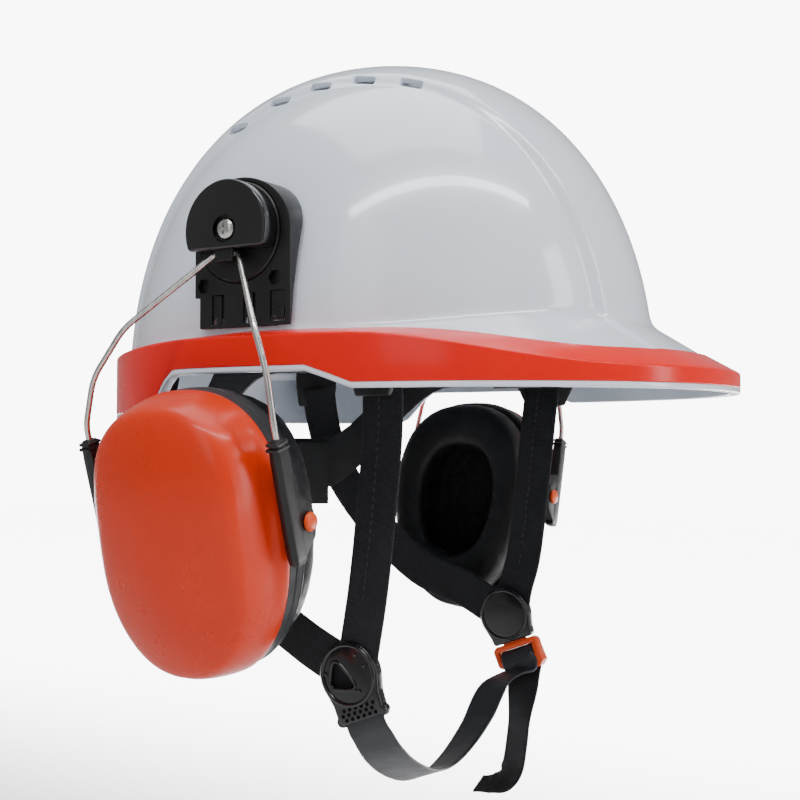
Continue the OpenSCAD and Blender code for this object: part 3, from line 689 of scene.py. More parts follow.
# ------------------------------------------------------------------ shell and brim
class ShellForm:
    """The dome, its raised centre panel and the brim, as points in millimetres."""

    power = 2.2            # fullness of the dome's side profile
    brim_front_power = 2.25
    brim_rear_power = 2.1
    panel_front_w = 26     # half width of the raised panel at the visor
    panel_front_y = -117
    panel_spread = 0.215   # the panel widens by this much per millimetre rearwards
    panel_rear_w = 60
    visor_root, side_root, rear_root = 29, 22, 16.5
    side_crease, front_crease = 19.5, 7.5
    notch_rise, rear_drop, lip = 6.6, 10, 2.2
    notch_front, notch_rear = (-48, -38), (29, 49)     # where the notch over the ear starts and ends
    crease_fall = 4        # the crease sinks by this much towards the rear
    bend_room = 0.6        # points stand this far beyond both bends of the panel's step
    level_top = 37         # from here up the rings of points are level

    def __init__(self, s):
        self.w, self.l, self.h, self.y = s.half_width, s.half_length, s.height, s.middle
        self.wall, self.rise, self.step = s.wall, s.rise, s.step
        self.brim_w, self.front, self.rear = s.brim_half_width, s.visor_reach, s.rear_reach
        self.band = s.band_wall

    def k(self, z):
        """The dome's size at height z, as a share of its size at the base."""
        return max(0.0, 1 - (max(z, 0) / self.h) ** self.power) ** (1 / self.power)

    def panel_w(self, y):
        """Half width of the raised panel."""
        return min(self.panel_rear_w, self.panel_front_w + self.panel_spread * (y - self.panel_front_y))

    def dome(self, a, z, inset=0.0):
        """A point on the dome; a is the angle from the front."""
        k, a = self.k(z), math.radians(a)
        x, y = self.w * k * math.sin(a), self.y - self.l * k * math.cos(a)
        w = self.panel_w(y)
        rise = self.rise * (1 - ramp(abs(x), w, w + self.step))
        s = 1 + (rise - inset) / self.h
        return vec(x * s, self.y + (y - self.y) * s, z * s)

    def panel_edge(self, k, way, extra):
        """The angle at which a ring crosses the panel's edge, found in a few rounds."""
        y = way * self.panel_rear_w
        for _ in range(8):
            a = math.degrees(math.asin(min(1, (self.panel_w(y) + extra) / (self.w * max(k, 0.01)))))
            y = self.y + way * self.l * k * math.cos(math.radians(a))
        return a

    def quarter(self, z, way, centre=11, flank=6, side=22):
        """A quarter ring's angles, denser on the panel's step; way is -1 in front and 1 behind."""
        k = self.k(z)
        a = min(self.panel_edge(k, way, -self.bend_room), 86.5)
        b = min(max(self.panel_edge(k, way, self.step + self.bend_room), a + 1.5), 88.5)
        return ([a * i / centre for i in range(centre)] + [mix(a, b, i / flank) for i in range(flank)]
                + [mix(b, 90, i / side) for i in range(side)])

    def angles(self, z):
        """A ring's angles, from the front through the left side to the back and on."""
        f, r = self.quarter(z, -1), self.quarter(z, 1)
        return (f + [90] + [180 - v for v in reversed(r)] + [180 + v for v in r[1:]] + [270]
                + [360 - v for v in reversed(f[1:])])

    def ring(self, z, inset=0.0):
        return [self.dome(a, z, inset) for a in self.angles(z)]

    def brim(self, a, inset, z=0.0):
        """A point on the brim's outline."""
        s, c = math.sin(math.radians(a)), math.cos(math.radians(a))
        rear = c < 0
        e = 2 / (self.brim_rear_power if rear else self.brim_front_power)
        reach = (self.rear if rear else self.front) - inset
        return vec((self.brim_w - inset) * spow(s, e), -reach * spow(c, e), z)

    def front_part(self, y):
        """0 beside the ears and 1 on the visor."""
        return ramp(-y, 50, 145)

    def crease_z(self, y):
        """Height of the brim's upper edge."""
        level = mix(self.side_crease, self.front_crease, self.front_part(y))
        return level - self.crease_fall * ramp(y, 20, 110)

    def root_z(self, a):
        """Height at which the brim leaves the dome."""
        c = math.cos(math.radians(a))
        if c > 0:
            return mix(self.side_root, self.visor_root, ramp(c, 0.3, 0.95))
        return mix(self.side_root, self.rear_root, -c)

    def bottom_z(self, y):
        """Height of the brim's lower edge, raised over the ears and lowered behind them."""
        fall = (self.notch_rise + self.rear_drop) * ramp(y, *self.notch_rear)
        return self.notch_rise * ramp(y, *self.notch_front) - fall

    def crease(self, a, inset, below=0.0):
        """A point on the brim's upper edge."""
        p = self.brim(a, inset)
        p[2] = self.crease_z(self.brim(a, 0)[1]) - below
        return p

    def base(self):
        return self.angles(self.side_root)


def shell_rows(form):
    """Rows of points from the crown's inside down, round the brim's edge and up to the crown outside."""
    last_ring, fillet_reach = 89.4, 5
    base, top = form.base(), form.angles(form.level_top)
    first = math.degrees(math.asin(form.level_top / form.h))

    def levels(n):
        return [form.h * math.sin(math.radians(v)) for v in spread(first, last_ring, n)]

    def at_root(a, b, s, inset, above):
        """A point between the brim's root and the level ring."""
        return form.dome(mix(a, b, s), mix(form.root_z(a) + above, form.level_top, s), inset)

    rows = [[vec(0, form.y, form.h + form.rise - form.wall)]]
    rows += [form.ring(z, form.wall) for z in reversed(levels(30))]
    rows += [[at_root(a, b, s, form.wall, 0) - vec(0, 0, 1.5 * (1 - s)) for a, b in zip(base, top)]
             for s in (0.66, 0.33, 0)]
    inner = form.band + form.wall
    rows.append([form.crease(a, inner, form.wall) for a in base])
    bottom = [form.bottom_z(form.brim(a, 0)[1]) for a in base]
    for inset, up in ((inner, 0.4), (inner - 0.4, 0), (0.6, 0), (0.1, 0.5), (0.1, form.lip - 0.4),
                      (0.4, form.lip), (form.band, form.lip)):
        rows.append([form.brim(a, inset, z + up) for a, z in zip(base, bottom)])
    creases = [form.crease(a, form.band) for a in base]
    roots = [form.dome(a, form.root_z(a)) for a in base]
    above = [form.dome(a, form.root_z(a) + fillet_reach) for a in base]
    fillet = [mix(r, c, min(0.45, fillet_reach / np.linalg.norm(c - r)))
              for r, c in zip(roots, creases)]
    rows += [[mix(c, f, s) for c, f in zip(creases, fillet)] for s in spread(0, 1, 7)]
    rows += [[f * (1 - s) ** 2 + 2 * r * s * (1 - s) + t * s * s for f, r, t in zip(fillet, roots, above)]
             for s in (0.16, 0.33, 0.5, 0.67, 0.84)]
    rows += [[at_root(a, b, s, 0, fillet_reach) for a, b in zip(base, top)] for s in (0, 0.5)]
    rows += [form.ring(z) for z in levels(92)]
    return rows + [[vec(0, form.y, form.h + form.rise)]]


VENTS = (-42, -22, -3, 15, 34)      # places of the vent slots along Y, in millimetres


def vent_cutter(form, y, sign):
    """A rounded slot through the sloped step beside the panel."""
    half_width, half_length, corner, depth = 2.1, 4.7, 1.1, 7
    x = form.panel_w(y) + form.step / 2
    k = math.hypot(x / form.w, (y - form.y) / form.l)
    z = form.h * (1 - k ** form.power) ** (1 / form.power)
    lean = math.radians(42)
    out = vec(sign * math.sin(lean), 0, math.cos(lean))
    across = vec(math.cos(lean), 0, -sign * math.sin(lean))
    outline = rounded(rectangle(half_width, -half_length, half_length), corner)
    return prism("vent", outline, -depth, depth, (vec(sign * x, y, z), across, Y, out))


class HELMET_OT_shell(bpy.types.Operator):
    """Moulds the shell with its raised panel, vents, brim and lip"""

    bl_idname = "helmet.shell"
    bl_label = "Shell"

    def execute(self, context):
        form = ShellForm(sizes("shell_sizes"))
        shell = mesh_piece("helmet_shell", *loft(shell_rows(form)), sharp=38)
        cutters = [vent_cutter(form, y, sign) for y in VENTS for sign in (1, -1)]
        cut(shell, joined("vents", *cutters))
        shade(shell, 38)
        finish(shell, material("shell_gloss"), "helmet", "shell_plastic", "shell")
        return {"FINISHED"}


class HELMET_OT_brim_band(bpy.types.Operator):
    """Wraps the coloured band round the brim's edge and over the visor's margin"""

    bl_idname = "helmet.brim_band"
    bl_label = "Brim band"

    def execute(self, context):
        form = ShellForm(sizes("shell_sizes"))
        gap = 0.05      # the band sinks into the shell by this much, or stands off its lip
        rows = []
        for a in form.base():
            low = form.bottom_z(form.brim(a, 0)[1]) + form.lip + gap
            p, q = form.crease(a, 0), form.crease(a, form.band - gap)
            edge = mix(q, form.dome(a, form.root_z(a)), mix(0.9, 0.33, form.front_part(p[1])))
            corners = [form.brim(a, 0, low), p + 0.9 * Z, edge + 1.1 * Z, edge + 0.1 * Z, q + 0.1 * Z,
                       form.brim(a, form.band - gap, low)]
            rows.append(rounded(corners, [0.35, 1.6, 0.5, 0.1, 0.1, 0.3], 4))
        band = mesh_piece("brim_band_trim", *loft(rows, loop=True), sharp=60)
        finish(band, material("band_gloss"), "helmet", "band_plastic", "brim_band")
        return {"FINISHED"}


# ------------------------------------------------------------------ side adapters and pivot caps
def side_plate_frame(s, x=0.0):
    """Looks outwards along +X: u runs rearwards, v up."""
    return vec(x, 0, s.swing_height), Y, Z, X


def disc(name, r, low, high, s, u=0.0, v=0.0, n=64):
    """A disc whose middle is at u, v in the side plate's frame."""
    o, a, b, w = side_plate_frame(s)
    return turned(name, [(0, low), (r, low), (r, high), (0, high)], (o + a * u + b * v, a, b, w), n)


def block(name, u, v, w, size, s, bevel=0.0):
    """A block whose middle is at u, v, w in the side plate's frame."""
    du, dv, dw = (c / 2 for c in size)
    outline = [(u - du, v - dv), (u + du, v - dv), (u + du, v + dv), (u - du, v + dv)]
    return prism(name, outline, w - dw, w + dw, side_plate_frame(s), bevel)


# Back of the adapter, which follows the dome: height above the side edge and distance outwards
PLATE_BACK = ([22, 38, 50, 61, 72, 80.5, 84], [105.4, 103.6, 101.2, 98.3, 94.5, 91, 89.6])


def adapter_plate(s):
    """An arched plate on a wider rear layer, thick enough to reach the dome."""
    face, r, low, shoulder = s.plate_face, 21, 24.4, 36.5
    front_half, rear_step = 24.2, 2.4
    heights = spread(low, shoulder, 6) + [shoulder + 0.01] + spread(shoulder + 1, s.swing_height, 5)[:-1]
    heights += [s.swing_height + r * math.sin(math.radians(a)) for a in spread(0, 86, 16)]
    rows = []
    for z in heights:
        rise = max(0, z - s.swing_height)
        half = math.sqrt(max(r * r - rise * rise, 0.02))
        rear = half - rear_step if z <= shoulder else half
        back = float(np.interp(z, *PLATE_BACK))
        front = -half * front_half / r
        rows.append([vec(face, front, z), vec(face, rear, z), vec(back, rear, z), vec(back, front, z)])
    return soften(mesh_piece("side_adapter", *loft(rows)), 0.8, 3)


class HELMET_OT_side_adapters(bpy.types.Operator):
    """Makes the black side adapters, with their recess, sockets, slots and latch"""

    bl_idname = "helmet.side_adapters"
    bl_label = "Side adapters"

    def execute(self, context):
        s = sizes("muff_sizes")
        face = s.plate_face
        slots, slot_height = (9.6, -5.4), -29.5
        hex_radius, hex_floor = 3.1, face - 2.2
        plate = adapter_plate(s)
        cutters = [disc("recess", s.cap_radius + 0.9, face - 2.8, face + 9, s)]
        cutters.append(disc("hex_front", hex_radius, hex_floor, face + 5, s, -17.2, -18.5, 6))
        cutters.append(disc("hex_rear", hex_radius, hex_floor, face + 5, s, 16.6, -20, 6))
        for u in slots:
            cutters.append(block("slot", u, slot_height, face, (6.0, 11.5, 2.6), s, 0.5))
        cutters.append(block("latch_room", -18.4, -29.2, face, (6.8, 11.6, 2.6), s, 0.5))
        cut(plate, *cutters)
        adds = [block("rib", u, slot_height, face - 1.0, (2.3, 11.2, 0.9), s, 0.2) for u in slots]
        adds.append(block("latch", -19.0, -31.9, face - 1.0, (4.0, 4.4, 0.8), s, 0.3))
        adds.append(block("latch_edge", -18.6, -34.2, face - 0.4, (5.0, 0.8, 1.0), s, 0.25))
        adds.append(block("rail", 0, -36.3, face - 0.6, (36, 1.0, 1.4), s, 0.3))
        details = joined("side_adapter_details", *adds)
        on_both_sides(details, material("black_satin"), "helmet", "black_plastic")
        shade(plate, 38)
        on_both_sides(plate, material("black_satin"), "helmet", "black_plastic", "adapter")
        return {"FINISHED"}


class HELMET_OT_pivot_caps(bpy.types.Operator):
    """Makes the rotors, the glossy D-shaped caps and their cross-head screws"""

    bl_idname = "helmet.pivot_caps"
    bl_label = "Pivot caps"

    def execute(self, context):
        s = sizes("muff_sizes")
        base = s.plate_face + 0.7
        rotor = turned("swing_rotor", [(0, base - 3.1), (19.2, base - 3.1), (19.4, base - 2.9),
                                       (19.4, base - 0.5), (18.9, base), (0, base)],
                       side_plate_frame(s), 96)
        lug = block("rotor_lug", 1.8, -8, base + 3.0, (8.4, 8, 6.6), s, 0.5)
        joined_rotor = joined("swing_rotor", rotor, lug)
        on_both_sides(joined_rotor, material("black_satin"), "carrier", "black_plastic", "rotor")
        r, flat = s.cap_radius, -7.5
        a = math.degrees(math.asin(flat / r))
        outline = arc(0, 0, r, a, 180 - a, 72)
        cap = prism("pivot_cap_cover", outline, base, base + s.cap_depth, side_plate_frame(s), 1.3, 5)
        cut(cap, disc("screw_well", 5.3, base + s.cap_depth - 2, base + 20, s, n=48))
        cut(cap, block("wire_room", 1.8, -8.6, base + 2.8, (9.4, 8.6, 7.4), s, 0.4))
        shade(cap, 35)
        on_both_sides(cap, material("black_gloss"), "carrier", "black_plastic", "pivot_cap")
        head = base + s.cap_depth - 1.9
        tip, top = base - 8, head + 2.4
        screw = turned("cap_screw", [(0, tip), (2, tip), (2, head), (4.2, head), (4.25, head + 0.5),
                                     (3.9, head + 1.3), (2.9, head + 2.0), (1.5, head + 2.35), (0, top)],
                       side_plate_frame(s), 48)
        for u, v in ((4.4, 1.0), (1.0, 4.4)):
            cut(screw, block("cross", 0, 0, top, (u, v, 2.6), s, 0.18))
        shade(screw, 35)
        for side, sign in SIDES.items():
            piece = screw if sign > 0 else mirrored(screw, "cap_screw")
            piece.name = f"cap_screw_{side}"
            nodes = ["adapter_screws"] if sign > 0 else []     # one node stands for both screws
            finish(piece, material("spring_wire"), "helmet", "steel", *nodes)
        return {"FINISHED"}


# ------------------------------------------------------------------ wire arms, holders and cups
class MuffForm:
    """Places of the left ear muff, in millimetres."""

    bar = (111, 1.8, 5.8, -9.2)     # outwards, middle along Y, half spread along Y, up from the axis
    bend_out = (130.5, 5.2, 30.4, -37.5)
    bend_mid = (132, 8.5, 41, -56.2)
    bend_low = (131, 9.5, 44.3, -74.3)
    leg, leg_lean, cup_lean = 50, math.radians(17), math.radians(11)
    pivot_along, pivot_in = 38.9, 7.5
    holder_start, holder_length = 5.6, 47
    cup_middle, taper, fullness = -5, 0.1, 0.86

    def __init__(self, s):
        self.s = s
        self.down = vec(-math.sin(self.leg_lean), 0, -math.cos(self.leg_lean))
        self.inward = vec(-math.cos(self.leg_lean), 0, math.sin(self.leg_lean))
        self.pivot = self.at(self.bend_low, 0) + self.down * self.pivot_along + self.inward * self.pivot_in

    def at(self, bend, way):
        """A bend's place on the front wire (way -1) or the rear wire (way 1)."""
        return vec(bend[0], bend[1] + way * bend[2], bend[3] + self.s.swing_height)

    def cup_frame(self):
        """u runs outwards, v rearwards and w up, from the cup's pivot."""
        c, s = math.cos(self.cup_lean), math.sin(self.cup_lean)
        return self.pivot, vec(c, 0, -s), Y, vec(s, 0, c)

    def egg(self, inset, depth, n=96, w=None, h=None):
        """The cup's outline at some depth outwards, in the cup's frame."""
        w, h = w or self.s.cup_half_width, h or self.s.cup_half_height
        points = []
        for i in range(n):
            c, s = math.cos(2 * math.pi * i / n), math.sin(2 * math.pi * i / n)
            y = (w - inset) * spow(c, self.fullness) * (1 + self.taper * s)
            points.append((depth, y, self.cup_middle + (h - inset) * spow(s, self.fullness)))
        return points


def rounded_route(points, reach, steps=8):
    """A route of straight runs whose corners are rounded; reach is one number for each corner."""
    p = [np.array(q, float) for q in points]
    out = [p[0]]
    for i in range(1, len(p) - 1):
        a = p[i] + unit(p[i - 1] - p[i]) * reach[i - 1]
        b = p[i] + unit(p[i + 1] - p[i]) * reach[i - 1]
        out += [a * (1 - s) ** 2 + 2 * p[i] * s * (1 - s) + b * s * s for s in spread(0, 1, steps)]
    return out + [p[-1]]


class HELMET_OT_wire_arms(bpy.types.Operator):
    """Bends the spring wires that carry the cups"""

    bl_idname = "helmet.wire_arms"
    bl_label = "Wire arms"

    def execute(self, context):
        form = MuffForm(sizes("muff_sizes"))
        bends = [form.bar, form.bend_out, form.bend_mid, form.bend_low]
        sides = [[form.at(b, way) for b in bends] + [form.at(form.bend_low, way) + form.down * form.leg]
                 for way in (-1, 1)]
        route = list(reversed(sides[0])) + sides[1]
        reach = [3.5, 5.5, 5, 1.4, 1.4, 5, 5.5, 3.5]
        wire = tube("wire_arm_rod", rounded_route(route, reach), form.s.wire_radius)
        on_both_sides(wire, material("spring_wire"), "arm", "steel", "wire_arm")
        return {"FINISHED"}


def holder_mesh(form, way, name):
    """A slim block on the wire's leg, with a collar, a lug for the cup's pin and a soft ridge."""
    o = form.at(form.bend_low, way)
    along, out = -form.down, -form.inward
    frame_of = (o, out, Y, along)
    top, bottom = -form.holder_start, -form.holder_start - form.holder_length
    rows = []
    # Half size across, half size along Y and height of each row, from the bottom up
    shape = [(2.6, 1.7, bottom), (3.2, 2.2, bottom + 0.6), (3.4, 2.4, bottom + 3), (3.5, 2.5, bottom + 12),
             (3.5, 2.5, top - 8), (3.3, 2.4, top - 3.4), (3.0, 2.2, top - 0.7), (2.5, 1.8, top)]
    for u, v, z in shape:
        outline = rounded([(-u, -v), (u * 0.82, -v), (u, 0), (u * 0.82, v), (-u, v)], 0.7, 3)
        rows.append(place([(p[0], p[1], z) for p in outline], frame_of))
    body = mesh_piece("holder", *loft(rows), sharp=50)
    parts = [body]
    for height, u, v in ((top - 3.2, 4.2, 2.75), (top - 1.3, 3.9, 2.6)):
        outline = rounded(rectangle(u, -v, v), 1.0, 3)
        parts.append(prism("collar", outline, height - 0.55, height + 0.55, frame_of, 0.25, 2))
    pin = -form.pivot_along
    lug_frame = (o + along * pin + out * -form.pivot_in, out, along, way * Y)
    lug = rounded([(6.2, 16), (3.5, 12), (-3.2, 6.2), (-5.1, 0), (-3.4, -6.4), (3.5, -11), (6.2, -13)],
                  [1, 3, 3, 5, 3, 3, 1], 5)
    plate = prism("lug", lug, -2.3, 2.3, lug_frame, 0.7, 3)
    hole = turned("pin_hole", [(0, -9), (2.6, -9), (2.6, 9), (0, 9)], lug_frame, 32)
    parts.append(cut(plate, hole))
    return joined(name, *parts)


class HELMET_OT_holders(bpy.types.Operator):
    """Makes the four sliding holders that join the wires to the cups"""

    bl_idname = "helmet.holders"
    bl_label = "Cup holders"

    def execute(self, context):
        form = MuffForm(sizes("muff_sizes"))
        for way, name in ((-1, "front_holder"), (1, "rear_holder")):
            holder = holder_mesh(form, way, f"{name}_block")
            on_both_sides(holder, material("black_satin"), "holders", "black_plastic", name)
        return {"FINISHED"}


# Depth and inset of the cup's outer wall, from the ring to the middle of the face
CUP_PROFILE = [(0, 0), (3, 0.3), (8, 1.2), (13, 2.4), (17.2, 3.8), (19.8, 5.4), (21.8, 8.2),
               (23.6, 12.6), (25.3, 18), (26.8, 25), (28, 33)]
RING_FACE, RING_BACK = 4.1, -5.1    # where the cup and the cushion meet the ring, outwards from the pivot


class HELMET_OT_ear_cups(bpy.types.Operator):
    """Makes the cups, their backing rings, foam inserts and pivot buttons"""

    bl_idname = "helmet.ear_cups"
    bl_label = "Ear cups"

    def cup(self, form):
        """The orange cup, hollowed at its sides where the holders lie."""
        at = form.cup_frame()
        thick, deepest, scoop_depth = 2.2, CUP_PROFILE[-1][0], 3.2
        profile = smooth_path([(d, i, 0) for d, i in CUP_PROFILE], 3)

        def wall(depth, inset, thickness):
            row = []
            behind = max(0, depth - (thickness if depth > 6 else 0))
            for u, v, w in form.egg(inset + thickness, RING_FACE + behind):
                beside = math.exp(-((w - form.cup_middle - 8) / 26) ** 2) * ramp(abs(v), 22, 36)
                scoop = scoop_depth * beside * ramp(depth, 1.5, 7) * (1 - ramp(depth, 17, 27))
                row.append((u, v - math.copysign(scoop, v), w))
            return place(row, at)

        centre = [place([(RING_FACE + d, 0, form.cup_middle)], at) for d in (deepest - thick, deepest)]
        rows = [centre[0]] + [wall(d, i, thick) for d, i, _ in reversed(profile)]
        rows += [wall(0, 0.6, 0), wall(0.3, 0.1, 0)]
        rows += [wall(d, i, 0) for d, i, _ in profile[1:]] + [centre[1]]
        cup = mesh_piece("muff_cup", *loft(rows), sharp=45)
        on_both_sides(cup, material("cup_satin"), "cup", "cup_plastic", "ear_cup")

    def ring(self, form):
        at = form.cup_frame()
        # Outwards and inset of each corner of the ring's section
        corners = [(-5, 8), (-5, 0.9), (-4.4, 0.4), (-1.4, 0.4), (-1.0, 0.9), (-0.6, 0.9), (-0.2, 0.4),
                   (3.5, 0.4), (4, 0.9), (4, 8)]
        rows = [place(form.egg(inset, u), at) for u, inset in corners]
        ring = mesh_piece("muff_ring", *loft(rows, loop=True), sharp=30)
        on_both_sides(ring, material("ring_grey"), "cup", "ring_plastic", "cup_ring")

    def foam(self, form):
        at = form.cup_frame()
        deep, face, inset, ripple = 15, -4, 9.2, 0.7
        rows = [place([(deep, 0, form.cup_middle)], at), place(form.egg(22, deep), at)]
        rows += [place(form.egg(inset, deep), at), place(form.egg(inset, face + 1), at)]
        rows.append(place(form.egg(11, face), at))
        rows += [place(form.egg(i, face - ripple * math.sin(i * 0.9)), at) for i in range(14, 38, 2)]
        rows.append(place([(-4.2, 0, form.cup_middle)], at))
        foam = mesh_piece("muff_foam", *loft(rows), sharp=70)
        on_both_sides(foam, material("open_foam"), "cup", "foam", "foam_insert")

    def buttons(self, form):
        o, u, v, w = form.cup_frame()
        inner, face = form.s.cup_half_width - 6, form.bend_low[2] + 2.8
        pins = []
        profile = [(0, inner), (2.5, inner), (2.5, face), (3.6, face), (3.6, face + 0.7),
                   (3.2, face + 1.3), (2.2, face + 1.7), (0, face + 1.85)]
        for way in (-1, 1):
            pins.append(turned("pin", profile, (o, u, w, way * v), 40))
        buttons = joined("muff_buttons", *pins)
        shade(buttons, 35)
        on_both_sides(buttons, material("button_orange"), "cup", "button_plastic", "pivot_buttons")

    def execute(self, context):
        form = MuffForm(sizes("muff_sizes"))
        self.cup(form)
        self.ring(form)
        self.foam(form)
        self.buttons(form)
        return {"FINISHED"}


def inflate(obj, voxel, pressure, cap, frames=20):
    """Swells a closed shape as filled cloth; no point moves further than cap millimetres."""
    remesh = obj.modifiers.new("even", "REMESH")
    remesh.mode = "VOXEL"
    remesh.voxel_size = voxel * MM
    bake(obj)
    rest = np.empty(len(obj.data.vertices) * 3, np.float32)
    obj.data.vertices.foreach_get("co", rest)
    rest = rest.reshape(-1, 3)
    cloth = obj.modifiers.new("cloth", "CLOTH")
    cloth.settings.use_pressure = True
    cloth.settings.uniform_pressure_force = pressure
    cloth.settings.effector_weights.gravity = 0
    cloth.settings.quality = 5
    cloth.settings.tension_stiffness = 25
    cloth.settings.compression_stiffness = 25
    cloth.point_cache.frame_start = 1
    cloth.point_cache.frame_end = frames
    for f in range(1, frames + 1):
        bpy.context.scene.frame_set(f)
    bake(obj)
    bpy.context.scene.frame_set(1)
    moved = np.empty(len(obj.data.vertices) * 3, np.float32)
    obj.data.vertices.foreach_get("co", moved)
    step = moved.reshape(-1, 3) - rest
    far = np.linalg.norm(step, axis=1)
    step *= np.minimum(1, cap * MM / np.maximum(far, 1e-9))[:, None]
    obj.data.vertices.foreach_set("co", (rest + step).ravel())
    obj.data.update()
    finer = obj.modifiers.new("finer", "SUBSURF")
    finer.levels = finer.render_levels = 1
    bake(obj)
    return shade(obj, 180)


class HELMET_OT_cushions(bpy.types.Operator):
    """Fills the ear cushions as soft vinyl rings"""

    bl_idname = "helmet.cushions"
    bl_label = "Ear cushions"

    def execute(self, context):
        s = sizes("muff_sizes")
        form = MuffForm(s)
        at = form.cup_frame()
        back, front = RING_BACK - 0.2, RING_BACK - s.cushion + 1.2
        rows = []
        for a in spread(0, 360, 28)[:-1]:
            c, n = math.cos(math.radians(a)), math.sin(math.radians(a))
            crown = 0.5 * spow(n, 0.5)
            depth = mix(back, front, 0.5 - crown)
            out = 0.5 + 0.5 * spow(c, 0.55)
            outer = form.egg(mix(4.6, 2.6, 0.5 + crown), depth)
            hole = form.egg(0, depth, w=20, h=28.5)
            ring = [tuple(mix(np.array(h), np.array(o), out)) for o, h in zip(outer, hole)]
            rows.append(place(ring, at))
        cushion = mesh_piece("muff_cushion", *loft(rows, loop=True), sharp=180)
        inflate(cushion, voxel=2.6, pressure=4.0, cap=2.2)
        rows = []
        for inset, u in ((0.9, RING_BACK), (0.7, -5.6), (0.9, -6.6), (1.4, -7.0), (3.6, -7.0),
                         (3.6, RING_BACK)):
            rows.append(place(form.egg(inset, u), at))
        seam = mesh_piece("muff_cushion_flange", *loft(rows, loop=True), sharp=60)
        on_both_sides(cushion, material("cushion_vinyl"), "cup", "cushion_vinyl", "cushion")
        on_both_sides(seam, material("cushion_vinyl"), "cup", "cushion_vinyl")
        return {"FINISHED"}


# ------------------------------------------------------------------ headband and cradle
HEAD_A, HEAD_B = 76, 98     # half axes of the headband's line, in millimetres


def round_head(a, off, z):
    """A point off millimetres outside the headband's line; a is the angle from the front."""
    a = math.radians(a)
    return vec((HEAD_A + off) * math.sin(a), -(HEAD_B + off) * math.cos(a), z)


def band_middle(a):
    """Height of the headband's middle line, which sinks behind the ears."""
    return mix(23, -31, ramp(abs(a), 92, 134))


def head_strip(name, angles, off, thick, middle, half, edge=0.6, swell=0.0):
    """A strip round the head with rounded edges; swell makes its faces bulge."""
    rows = []
    for a in angles:
        m, h = middle(a), half(a)
        corners = rounded([(0, -h), (thick, -h), (thick, 0), (thick, h), (0, h), (0, 0)],
                          [edge, edge, 0.4 * h, edge, edge, 0.4 * h], 4)
        rows.append([round_head(a, off + u + swell * (u / thick - 0.5) * 2 * (1 - (v / h) ** 4), m + v)
                     for u, v in corners])
    return mesh_piece(name, *loft(rows), sharp=70)


class HELMET_OT_headband(bpy.types.Operator):
    """Makes the slotted headband and the stitched sweatband inside it"""

    bl_idname = "helmet.headband"
    bl_label = "Headband"

    def slots(self, angles):
        """Cutters for the upright slots through the band."""
        made = []
        for a in angles:
            o = round_head(a, 0, band_middle(a))
            out = unit(vec(o[0] / HEAD_A ** 2, o[1] / HEAD_B ** 2, 0))
            outline = rounded(rectangle(1.4, -7, 7), 1.3, 4)
            made.append(prism("slot", outline, -3, 5, (o, np.cross(Z, out), Z, out)))
        return joined("slots", *made)

    def execute(self, context):
        band = head_strip("headband_strip", spread(-148, 148, 100), 0, 1.8, band_middle,
                          lambda a: mix(15, 13, ramp(abs(a), 90, 120)), 0.5)
        cut(band, self.slots((-86, -80, -74, -40, -34, 34, 40, 74, 80, 86)))
        finish(band, material("harness_matte"), "helmet", "harness_plastic", "headband")
        pad = head_strip("sweatband_pad", spread(-75.5, 75.5, 64), -4.0, 3.6, lambda a: 22,
                         lambda a: 15.6, 1.4, 0.3)
        finish(pad, material("sweat_cloth"), "helmet", "sweat_fabric", "sweatband")
        for name, z in (("upper", 34.4), ("lower", 9.6)):
            route = [round_head(a, -4.3, z) for a in spread(-74, 74, 90)]
            seam = repeated(f"sweatband_stitches_{name}", route, stitch(0.35), 3.4, "thread")
            finish(seam, material("thread"), "helmet", "sweat_fabric")
        return {"FINISHED"}


def stitch(radius):
    """One stitch: a short thread along Z that thins towards both ends."""
    half = sizes("strap_sizes").stitch_length / 2
    rows = []
    for t in spread(-1, 1, 6):
        r = radius * math.sqrt(max(0.1, 1 - t * t))
        rows.append([(r * math.cos(a), r * math.sin(a), t * half) for a in rounds(8)])
    return mesh_piece("stitch", *loft(rows))


def webbing(name, path, across, s, ribs=(-1.0, 1.0), width=None, depth=0.1):
    """Flat webbing with rounded selvedges and cross ribs between two places of its width.

    across gives the direction of the width at each share of the path. The UV map runs in
    metres: U from the middle line and V along the strap.
    """
    path = even_path(path, s.rib_pitch / 2)
    way = directions(path)
    half, thick = (width or s.width) / 2, s.thickness / 2
    right = [0.1, 0.3, 0.5, 0.7, 0.86, 0.93, 0.975, 1]
    columns = [-c for c in reversed(right)] + right
    rows = []
    for i, p in enumerate(path):
        a = np.asarray(across(i / (len(path) - 1)), float)
        u = unit(a - (a @ way[i]) * way[i])
        up = np.cross(way[i], u)
        high = []
        for c in columns:
            edge = math.sqrt(max(0.02, 1 - max(0, (abs(c) - 0.9) / 0.1) ** 2))
            hem = 0.08 * ramp(abs(c), 0.78, 0.88)
            rib = depth if i % 2 and ribs[0] <= c <= ribs[1] else 0
            high.append((thick - depth + hem + rib) * edge)
        rows.append([p + u * c * half + up * h for c, h in zip(columns, high)]
                    + [p + u * c * half - up * h for c, h in zip(columns[::-1], high[::-1])])
    obj = mesh_piece(name, *loft(rows), sharp=75)
    run = np.concatenate([[0], np.cumsum(np.linalg.norm(np.diff(path, axis=0), axis=1))])
    u = np.array(columns + columns[::-1]) * half
    corners = np.empty(len(obj.data.loops), np.int32)
    obj.data.loops.foreach_get("vertex_index", corners)
    uv = np.stack([u[corners % len(u)], run[corners // len(u)]], axis=1) * MM
    obj.data.uv_layers.new(name="strap").data.foreach_set("uv", uv.astype(np.float32).ravel())
    return obj


def steady(*direction):
    """The same direction of the width all along a strap."""
    return lambda share: vec(*direction)


